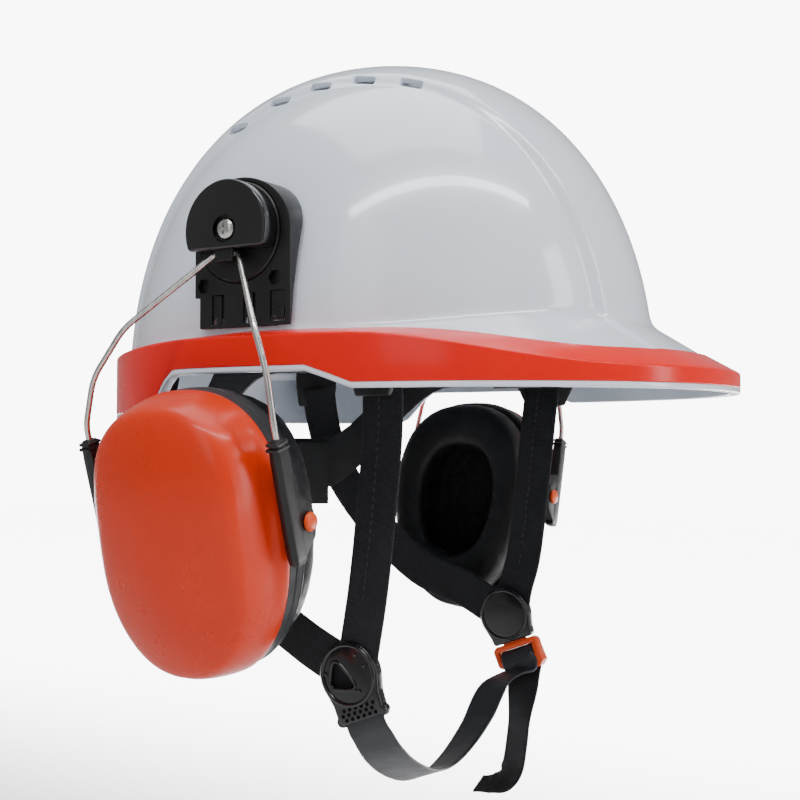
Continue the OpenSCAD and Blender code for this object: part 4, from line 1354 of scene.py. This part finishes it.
def stitched(name, path, across, s, shifts, body):
    """Lines of stitches along a strap, on both its faces."""
    path = even_path(path, 1.5)
    way = directions(path)
    lines = []
    for shift in shifts:
        for face in (1, -1):
            route = []
            for i, p in enumerate(path):
                a = np.asarray(across(i / (len(path) - 1)), float)
                u = unit(a - (a @ way[i]) * way[i])
                route.append(p + u * shift + np.cross(way[i], u) * face * (s.thickness / 2))
            lines.append(repeated("line", route, stitch(0.34), s.stitch_pitch, "thread"))
    return finish(joined(name, *lines), material("thread"), body, "webbing")


class HELMET_OT_crown_straps(bpy.types.Operator):
    """Lays the three crown straps over each other and clips their ends to the shell"""

    bl_idname = "helmet.crown_straps"
    bl_label = "Crown straps"

    def oval(self, a, b, turn):
        """Distance from the middle to an oval with half axes a and b."""
        return a * b / math.hypot(b * math.cos(turn), a * math.sin(turn))

    def execute(self, context):
        s = sizes("strap_sizes")
        s.thickness = 1.2      # the crown straps are thinner than the harness
        width, ends, rise = 20, 30, 84
        shell = ShellForm(sizes("shell_sizes"))
        clips = []
        for name, degrees, lift in (("long", 90, 0), ("left", 33, 1.6), ("right", -33, 3.2)):
            turn = math.radians(degrees)
            reach = self.oval(HEAD_A, HEAD_B, turn) + 3.4
            path = []
            for a in spread(0, math.pi, 60):
                r = spow(math.cos(a), 0.85) * reach
                z = ends + rise * max(0.0, math.sin(a)) ** 0.9 + lift
                path.append(vec(r * math.cos(turn), r * math.sin(turn), z))
            across = steady(-math.sin(turn), math.cos(turn), 0)
            strap = webbing(f"crown_webbing_{name}", path, across, s, width=width)
            finish(strap, material("webbing_cloth"), "helmet", "webbing", f"crown_strap_{name}")
            for t in (turn, turn + math.pi):
                out, side = vec(math.cos(t), math.sin(t), 0), vec(-math.sin(t), math.cos(t), 0)
                hook = self.oval(HEAD_A, HEAD_B, t) + 4.4
                k = shell.k(35) * (1 - shell.wall / shell.h)
                wall = self.oval(shell.w * k, shell.l * k, t) + shell.y * out[1] + 0.2
                at = (vec(0, 0, 0), side, Z, out)
                plate = rounded(rectangle(11, 26, 42), 2.5, 4)
                clips.append(prism("clip", plate, hook, hook + 2.4, at, 0.5))
                key = rounded(rectangle(4, 35, 38), 0.5, 3)
                clips.append(prism("key", key, hook + 2, wall, at))
        finish(joined("crown_strap_clips", *clips), material("harness_matte"), "helmet", "harness_plastic",
               "hanger_clips")
        return {"FINISHED"}


# ------------------------------------------------------------------ chin harness
class StrapForm:
    """Routes of the harness straps and frames of the dividers, in millimetres."""

    turn = math.radians(-21)      # a divider's tail leans forwards by this much
    # Middle of each divider, both as if on the left
    disc = {"left": vec(71.5, -29.5, -104.5), "right": vec(71.5, -29.5, -110.5)}
    radius, thick = 13.2, 5
    tail = {"left": 13.4, "right": 18}
    down = vec(0, math.sin(turn), -math.cos(turn))
    edge = (0, 1, math.tan(turn))

    def __init__(self, s):
        self.layer = s.thickness / 2 + 0.1
        self.chin_right = self.disc["right"] * (-1, 1, 1) + self.down * (self.tail["right"] + 0.8)
        self.buckle = self.disc["left"] + self.down * (self.tail["left"] + 0.5)

    def frame_of(self, side):
        """u runs along the tail's width, v up the tail and w outwards."""
        c, n = math.cos(self.turn), math.sin(self.turn)
        return self.disc[side], vec(0, c, n), vec(0, -n, c), X

    def front(self, side):
        """From the front anchor down to the divider, over its middle layer."""
        x, y, z = self.disc[side]
        return smooth_path([(79.5, -47, 14), (76, -46.5, 0), (74, -45, -20), (73.5, -42, -48),
                            (73, -38.5, -75), (x + self.layer, y - 5, z + 14),
                            (x + self.layer, y - 3, z + 3)], 10)

    def rear(self, side):
        """From the rear anchor down to the divider, under its middle layer."""
        x, y, z = self.disc[side]
        return smooth_path([(60.5, 74, 8), (64.5, 74, -8), (68, 71, -24), (70.5, 61, -44), (70.5, 42, -65),
                            (70.5, 18, -84), (x - self.layer, y + 24, z + 12),
                            (x - self.layer, y + 8, z + 4), (x - self.layer, y - 2, z - 1)], 10)

    def by_buckle(self, along, out):
        """A place by the buckle: along its tail and outwards."""
        return self.buckle + self.down * along + X * out

    def chin(self):
        """From the right divider under the chin and up through the buckle, to the top of its bar."""
        start = self.chin_right
        bar = [self.by_buckle(a, o) for a, o in ((12.6, -3.9), (9.4, -3.4), (5.2, -2.1), (3.6, 0))]
        return smooth_path([start - self.down * 3, start + self.down * 2.4, start + self.down * 6 + X * 1.5,
                            (-63, -38.5, -141), (-50, -36, -149), (-32, -32, -157), (-12, -28, -163.5),
                            (9, -25.5, -166), (28, -25, -162), (44, -27, -151.5), (57, -30, -137), *bar], 8)

    def loose_tail(self):
        """From the top of the buckle's bar down its outer side, with the hem turned up rearwards."""
        bar = [self.by_buckle(a, o) for a, o in ((3.6, 0), (5.2, 2.1), (9.4, 3.4), (12.6, 3.3))]
        return smooth_path([*bar, (69, -40, -136), (65.8, -39.5, -150), (63.6, -38.6, -165),
                            (62.6, -37, -175.5), (61.7, -33, -181.8), (60.9, -27, -184.4),
                            (60, -20, -185.6)], 8)


class HELMET_OT_harness_straps(bpy.types.Operator):
    """Sews the front and rear straps and makes the anchors that hold them"""

    bl_idname = "helmet.harness_straps"
    bl_label = "Harness straps"

    def anchors(self, name, where, turn, top, low, node):
        """A pair of plates that carry the straps' upper ends; top and low are their widths."""
        c, n = math.cos(math.radians(turn)), math.sin(math.radians(turn))
        outline = rounded([(-low / 2, -6), (low / 2, -6), (top / 2, 4), (top / 2, 15), (-top / 2, 15),
                           (-top / 2, 4)], [1.5, 1.5, 4, 2, 2, 4], 4)
        plate = prism(name, outline, 0, 2.2, (vec(*where), vec(-n, c, 0), Z, vec(c, n, 0)), 0.5)
        pair = joined(name, mirrored(plate, "other"), plate)
        finish(pair, material("harness_matte"), "helmet", "harness_plastic", node)

    def execute(self, context):
        s = sizes("strap_sizes")
        form = StrapForm(s)
        for side, sign in SIDES.items():
            flip = vec(sign, 1, 1)
            front = np.array(form.front(side))
            rear = even_path(form.rear(side), s.rib_pitch / 2)
            way = directions(rear)

            def edge(share, way=way, flip=flip):
                i = round(share * (len(way) - 1))
                return np.cross(way[i], unit(vec(1, 0.25 * (1 - share), 0))) * flip

            strap = webbing(f"front_webbing_{side}", front * flip, steady(0, 1, 0), s, ribs=(-0.9, 0.05))
            finish(strap, material("webbing_cloth"), "helmet", "webbing", f"front_strap_{side}")
            stitched(f"front_webbing_stitches_{side}", front[4:-18] * flip, steady(0, 1, 0), s, (1.3,),
                     "helmet")
            strap = webbing(f"rear_webbing_{side}", rear * flip, edge, s, ribs=(-0.75, 0.75))
            finish(strap, material("webbing_cloth"), "helmet", "webbing", f"rear_strap_{side}")
        self.anchors("front_strap_anchors", (81.4, -46.5, 4), 18, 28, 19, "front_anchors")
        self.anchors("rear_strap_anchors", (64.3, 77.5, 5), 52, 22, 19, "rear_anchors")
        return {"FINISHED"}


def bead(name, outline, frame_of, height, radius, n=10):
    """A round bead that follows a closed outline at some height."""
    rows = []
    for i, p in enumerate(outline):
        d = unit(outline[(i + 1) % len(outline)] - outline[i - 1])
        out = vec(d[1], -d[0])
        rows.append(place([(*(p + out * radius * math.cos(a)), height + radius * math.sin(a))
                           for a in (2 * math.pi * k / n for k in range(n))], frame_of))
    return mesh_piece(name, *loft(rows, loop=True), sharp=80)


class HELMET_OT_dividers(bpy.types.Operator):
    """Moulds the round dividers that grip the straps under the ears"""

    bl_idname = "helmet.dividers"
    bl_label = "Dividers"

    def body(self, form, side, s):
        """The hollow disc and its tail, open where the straps enter."""
        at = form.frame_of(side)
        r, half, tail = form.radius, form.thick / 2, form.tail[side]
        room = half - 0.9
        low = rounded([(-12.58, -4), (-11, -9.5), (-10.7, -tail), (10.7, -tail), (11, -9.5), (12.58, -4)],
                      [1, 6, 3.2, 3.2, 6, 1], 5)[6:-6]
        outline = arc(0, 0, r, -17.6, 197.6, 52) + low
        body = prism("body", outline, -half, half, at, 0.8)
        cut(body, turned("room", [(0, -room), (r - 1.6, -room), (r - 1.6, room), (0, room)], at))
        wide = s.width / 2 + 0.4
        for way in (29, -43):
            c, n = math.cos(math.radians(way)), math.sin(math.radians(way))
            mouth = [(u * c - v * n, u * n + v * c) for u, v in rectangle(wide, 0, 26)]
            cut(body, prism("mouth", mouth, -room * 0.98, room * 0.98, at))
        return body, at

    def window(self, grow):
        """The three-cornered window's outline, grown by some millimetres."""
        corners = [(-3.2 - grow, -6.6 - grow), (9.4 + grow, -2.4 - grow * 0.6), (4.0, 8.4 + grow * 1.4)]
        return rounded(corners, [2.2 + grow, 2.6 + grow, 2.4 + grow], 9)

    def trim(self, form, at):
        """The raised rim, the window's border and the small marks on the outer face."""
        half = form.thick / 2
        rim = arc(0, 0, form.radius - 1.5, 0, 354, 59)
        parts = [bead("rim", rim, at, half - 0.1, 0.95), bead("rim", rim, at, 0.1 - half, 0.8),
                 bead("border", self.window(0.8), at, half - 0.1, 0.75)]
        lip = rounded([(-3.6, -7.9), (7.4, -4.6), (7.0, -3.4), (-4.0, -6.7)], 0.5, 3)
        parts.append(prism("lip", lip, half - 0.3, half + 0.6, at, 0.25))
        dot = [(0, half - 0.2), (0.9, half - 0.2), (0.8, half + 0.35), (0.4, half + 0.5), (0, half + 0.5)]
        for u, v in ((-8.6, 1.4), (-6.2, 6.4), (9.6, 3.0)):
            o = place([(u, v, 0)], at)[0]
            parts.append(turned("dot", dot, (o, *at[1:]), 16))
        return parts

    def perforate(self, body, form, at):
        """Three offset rows of small holes through the tail's outer face."""
        half, radius, first, row_pitch, pitch = form.thick / 2, 0.8, -12.7, 1.9, 2.79
        for row in range(3):
            v, shift = first - row * row_pitch, (row % 2) * 1.1
            route = place([(-7 + shift - 0.5, v, half), (7 + shift - 0.5, v, half)], at)
            ring = [[(x, radius * math.cos(a), radius * math.sin(a)) for a in rounds(12)]
                    for x in (-1.1, 1.1)]
            hole = mesh_piece("hole", *loft(ring))
            cut(body, repeated("holes", route, hole, pitch, "black_gloss", jitter=0))

    def lumps(self, tail, at):
        """The two rounded ends of the bar that clamps the chin strap."""
        profile = [(0, -2.0), (2.1, -1.7), (2.5, -0.7), (2.5, 0.7), (2.1, 1.7), (0, 2.0)]
        return [turned("lump", profile, (place([(u, -tail + 1.6, 0)], at)[0], *at[1:]), 24)
                for u in (-9.7, 9.7)]

    def execute(self, context):
        s = sizes("strap_sizes")
        form = StrapForm(s)
        half = form.thick / 2
        for side, sign in SIDES.items():
            body, at = self.body(form, side, s)
            cut(body, prism("window", self.window(0), half - 1.2, half + 2, at))
            tail = form.tail[side]
            if side == "left":
                cut(body, prism("socket", rectangle(6.4, -tail - 1, -tail + 8), -1.5, 1.5, at))
            else:
                slot = rectangle(s.width / 2 + 0.3, -tail - 1, -12.6)
                cut(body, prism("clamp", slot, -0.9, 0.9, at))
                self.perforate(body, form, at)
            parts = [body, *self.trim(form, at)]
            if side == "right":
                parts += self.lumps(tail, at)
            divider = joined(f"strap_divider_{side}", *parts)
            if sign < 0:
                divider.data.transform(Matrix.Diagonal((-1, 1, 1, 1)))
                divider.data.flip_normals()
            shade(divider, 45)
            finish(divider, material("black_gloss"), "helmet", "harness_plastic", f"divider_{side}")
        return {"FINISHED"}


class HELMET_OT_chin_strap(bpy.types.Operator):
    """Makes the chin strap, its loose tail and the buckle"""

    bl_idname = "helmet.chin_strap"
    bl_label = "Chin strap"

    def buckle(self, form):
        """The frame with its thick side bar, and the tongue that plugs into the left divider."""
        at = (form.buckle, *form.frame_of("left")[1:])
        outline = rounded([(-12, -11), (-9, -12.2), (9, -11.4), (12, -10.2), (12.2, -1.4), (10, 0),
                           (-10.6, 0), (-12.4, -1.6)], [2.4, 2, 2, 2, 2, 2.2, 2.2, 2], 4)
        plug = prism("chin_buckle", outline, -2.5, 2.5, at)
        hole = rounded(rectangle(9.6, -8.1, -3), 0.9, 4)
        cut(plug, prism("opening", hole, -5, 5, at))
        soften(plug, 0.9, 3)
        tongue = rounded(rectangle(6, -1, 6.2), [0.5, 0.5, 1.6, 1.6], 4)
        bar = [(-11.6, -2.6), (-12.2, -12.4), (-9.6, -14.8), (-6.2, -13.8), (-6.6, -12), (-9.2, -10.6),
               (-9.4, -3.2)]
        thick = prism("side", rounded(bar, 1.2, 4), -3.3, 3.3, at, 0.8)
        parts = [plug, prism("tongue", tongue, -1.2, 1.2, at, 0.4), thick]
        return joined("chin_buckle", *parts), at

    def execute(self, context):
        s = sizes("strap_sizes")
        form = StrapForm(s)
        buckle, at = self.buckle(form)
        shade(buckle, 45)
        finish(buckle, material("button_orange"), "chin", "button_plastic", "buckle_plug")
        pin = tube("buckle_pin", place([(-9.4, -9.6, 3.0), (-4, -9.6, 3.1)], at), 0.9)
        finish(pin, material("black_gloss"), "chin", "button_plastic")
        chin = webbing("chin_webbing", form.chin(), steady(*form.edge), s, depth=0.05)
        finish(chin, material("strap_smooth"), "chin", "webbing", "chin_strap")
        at_buckle, at_hem = vec(*form.edge), vec(0.55, 0.83, 0)

        def across(share):
            return mix(at_buckle, at_hem, ramp(share, 0.15, 0.5))

        tail = webbing("chin_webbing_tail", form.loose_tail(), across, s, depth=0.08)
        finish(tail, material("webbing_cloth"), "chin", "webbing", "strap_tail")
        end = np.array(form.loose_tail()[-9:-3])
        stitched("chin_webbing_hem", end, steady(*at_hem), s, (-6, -3, 0, 3, 6), "chin")
        return {"FINISHED"}


# ------------------------------------------------------------------ nape adjuster
class HELMET_OT_nape(bpy.types.Operator):
    """Makes the nape band, its pad and the ratchet knob"""

    bl_idname = "helmet.nape"
    bl_label = "Nape adjuster"

    def execute(self, context):
        back, height, grip_radius, tooth_radius = 97.2, -36, 13.0, 5.3

        def at_back(off):
            return vec(0, back + off, height), Z, X, Y

        angles = spread(132, 228, 48)
        band = head_strip("nape_band_strip", angles, -3.4, 2, lambda a: height, lambda a: 16, 0.7)
        finish(band, material("harness_matte"), "nape", "harness_plastic", "nape_band")
        angles = spread(152, 208, 30)
        pad = head_strip("nape_pad_cloth", angles, -8, 4.4, lambda a: height, lambda a: 12, 1.8, 0.5)
        finish(pad, material("sweat_cloth"), "nape", "sweat_fabric", "nape_pad")
        cover = turned("ratchet_housing", [(3.4, 0), (16.4, 0), (17, 0.6), (17, 7.2), (16.2, 8), (14.9, 8),
                                           (14.4, 7.5), (14.2, 6.8), (3.4, 6.8)], at_back(0), 72)
        finish(cover, material("harness_matte"), "nape", "harness_plastic", "ratchet_cover")
        knob = turned("ratchet_wheel", [(0, 6), (3, 6), (3, 8.4), (12.2, 8.4), (12.9, 9.2), (12.9, 17.2),
                                        (12.2, 18.2), (11.2, 18.6), (9.6, 18.2), (8.8, 17.4), (0, 16.9)],
                      at_back(0), 72)
        grip = [[(x, r * math.cos(a), r * math.sin(a)) for a in rounds(10)]
                for x, r in ((-4.6, 0.5), (-4.2, 1.15), (0, 1.25), (4.2, 1.15), (4.6, 0.5))]
        route = place(arc(0, 0, grip_radius, 0, 340, 68), at_back(13.2))
        grips = repeated("grips", route, mesh_piece("grip", *loft(grip)), 4.53, "black_satin", jitter=0)
        knob = joined("ratchet_wheel", knob, grips)
        finish(knob, material("black_satin"), "knob", "black_plastic", "ratchet_knob")
        gear = turned("ratchet_gear", [(0, 2), (5, 2), (5, 6), (0, 6)], at_back(0), 32)
        section = ((-0.9, -0.9), (0.9, -0.9), (0.6, 1.4), (-0.6, 1.4))
        tooth = [[(x, y, z) for y, z in section] for x in (-2, 2)]
        route = place(arc(0, 0, tooth_radius, 0, 324, 54), at_back(4))
        teeth = repeated("teeth", route, mesh_piece("tooth", *loft(tooth)), 3.32, "spring_wire", jitter=0)
        gear = joined("ratchet_gear", gear, teeth)
        finish(gear, material("spring_wire"), "knob", "steel", "ratchet_pinion")
        return {"FINISHED"}


# ------------------------------------------------------------------ stage
class HELMET_OT_stage(bpy.types.Operator):
    """Sets the pale floor, the soft studio lights and the camera"""

    bl_idname = "helmet.stage"
    bl_label = "Stage"

    def light(self, name, where, target, size, power, tint=(1, 1, 1)):
        """An oblong area light that points at its target."""
        data = bpy.data.lights.new(name, "AREA")
        data.shape = "RECTANGLE"
        data.size, data.size_y = size
        data.energy = power
        data.color = tint
        obj = bpy.data.objects.new(name, data)
        bpy.context.scene.collection.objects.link(obj)
        obj.location = where
        obj.rotation_euler = (Vector(target) - Vector(where)).to_track_quat("-Z", "Y").to_euler()
        return obj

    def floor(self, drop):
        """A flat pale floor, drop millimetres under the helmet."""
        low, half = CAD_BOUNDS[0][2] - drop * MM, 6
        mesh = bpy.data.meshes.new("floor")
        mesh.from_pydata([(x, y, low) for x, y in rectangle(half, -half, half)], [], [(0, 1, 2, 3)])
        obj = bpy.data.objects.new("floor", mesh)
        bpy.context.scene.collection.objects.link(obj)
        obj.data.materials.append(moulded("floor_paint", (0.88, 0.88, 0.88), 0.7, 0.1, 60, 0.01).material)

    def backdrop(self, context):
        """A bright white world behind the helmet that lights it only softly."""
        soft_strength, bright_strength = 0.36, 9.0
        world = bpy.data.worlds.new("studio")
        world.use_nodes = True
        tree = world.node_tree
        soft = tree.nodes["Background"]
        soft.inputs["Color"].default_value = (1, 1, 1, 1)
        soft.inputs["Strength"].default_value = soft_strength
        bright = tree.nodes.new("ShaderNodeBackground")
        bright.inputs["Color"].default_value = (1, 1, 1, 1)
        bright.inputs["Strength"].default_value = bright_strength
        seen = tree.nodes.new("ShaderNodeLightPath")
        either = tree.nodes.new("ShaderNodeMixShader")
        tree.links.new(seen.outputs["Is Camera Ray"], either.inputs[0])
        tree.links.new(soft.outputs[0], either.inputs[1])
        tree.links.new(bright.outputs[0], either.inputs[2])
        tree.links.new(either.outputs[0], tree.nodes["World Output"].inputs["Surface"])
        context.scene.world = world

    def camera(self, lens):
        """A camera low on the right side, turned and pitched towards the helmet's middle."""
        turn, pitch = math.radians(29.91), math.radians(1.81)
        where = vec(-485.34, -289.77, -18.5) * MM
        forward = vec(math.cos(turn) * math.cos(pitch), math.sin(turn) * math.cos(pitch), math.sin(pitch))
        right = vec(math.sin(turn), -math.cos(turn), 0)
        up = np.cross(right, forward)
        data = bpy.data.cameras.new("camera")
        data.lens, data.sensor_width = lens, 36
        data.clip_start = 0.01
        obj = bpy.data.objects.new("camera", data)
        bpy.context.scene.collection.objects.link(obj)
        axes = np.stack([right, up, -forward], axis=1)
        obj.matrix_world = Matrix.Translation(Vector(where)) @ Matrix(axes.tolist()).to_4x4()
        bpy.context.scene.camera = obj

    def execute(self, context):
        settings = context.scene.stage_settings
        self.floor(settings.floor_drop / MM)
        self.backdrop(context)
        middle = (0, 0, 0.02)
        self.light("key", (-0.7, -0.85, 1.75), middle, (2.8, 0.14), 30)
        self.light("side", (-1.5, -0.2, 0.6), middle, (0.5, 1.2), 2.6, (0.93, 0.96, 1))
        self.light("top", (0.1, 0.1, 1.7), middle, (1.4, 1.4), 21, (0.96, 0.98, 1))
        self.light("front", (0.3, -1.5, 0.3), middle, (0.3, 1.2), 7)
        wash = self.light("wash", (4.8, 2.75, 2.2), (4.8, 2.75, -1), (8, 8), 2000)
        wash.data.spread = math.radians(28)
        self.camera(settings.lens)
        return {"FINISHED"}


# ------------------------------------------------------------------ add-on
SETTINGS = {"shell_sizes": ShellSizes, "muff_sizes": MuffSizes, "strap_sizes": StrapSizes,
            "finishes": Finishes, "stage_settings": StageSettings}
OPERATORS = [HELMET_OT_shell, HELMET_OT_brim_band, HELMET_OT_side_adapters, HELMET_OT_pivot_caps,
             HELMET_OT_wire_arms, HELMET_OT_holders, HELMET_OT_ear_cups, HELMET_OT_cushions,
             HELMET_OT_headband, HELMET_OT_crown_straps, HELMET_OT_harness_straps, HELMET_OT_dividers,
             HELMET_OT_chin_strap, HELMET_OT_nape, HELMET_OT_stage]


class HELMET_PT_build(bpy.types.Panel):
    """Lists the helmet's settings and the pieces that can be built"""

    bl_label = "Forestry helmet"
    bl_idname = "HELMET_PT_build"
    bl_space_type = "VIEW_3D"
    bl_region_type = "UI"
    bl_category = "Helmet"

    def draw(self, context):
        for group in SETTINGS:
            box = self.layout.box()
            for name in type(getattr(context.scene, group)).__annotations__:
                box.prop(getattr(context.scene, group), name)
        for operator in OPERATORS:
            self.layout.operator(operator.bl_idname)


def register():
    for cls in (*SETTINGS.values(), *OPERATORS, HELMET_PT_build):
        bpy.utils.register_class(cls)
    for name, group in SETTINGS.items():
        setattr(bpy.types.Scene, name, PointerProperty(type=group))


def unregister():
    for name in SETTINGS:
        delattr(bpy.types.Scene, name)
    for cls in reversed((*SETTINGS.values(), *OPERATORS, HELMET_PT_build)):
        bpy.utils.unregister_class(cls)


def main():
    register()
    make_materials(bpy.context.scene.finishes)
    for operator in OPERATORS:
        module, name = operator.bl_idname.split(".")
        getattr(getattr(bpy.ops, module), name)()


if __name__ == "__main__":
    main()
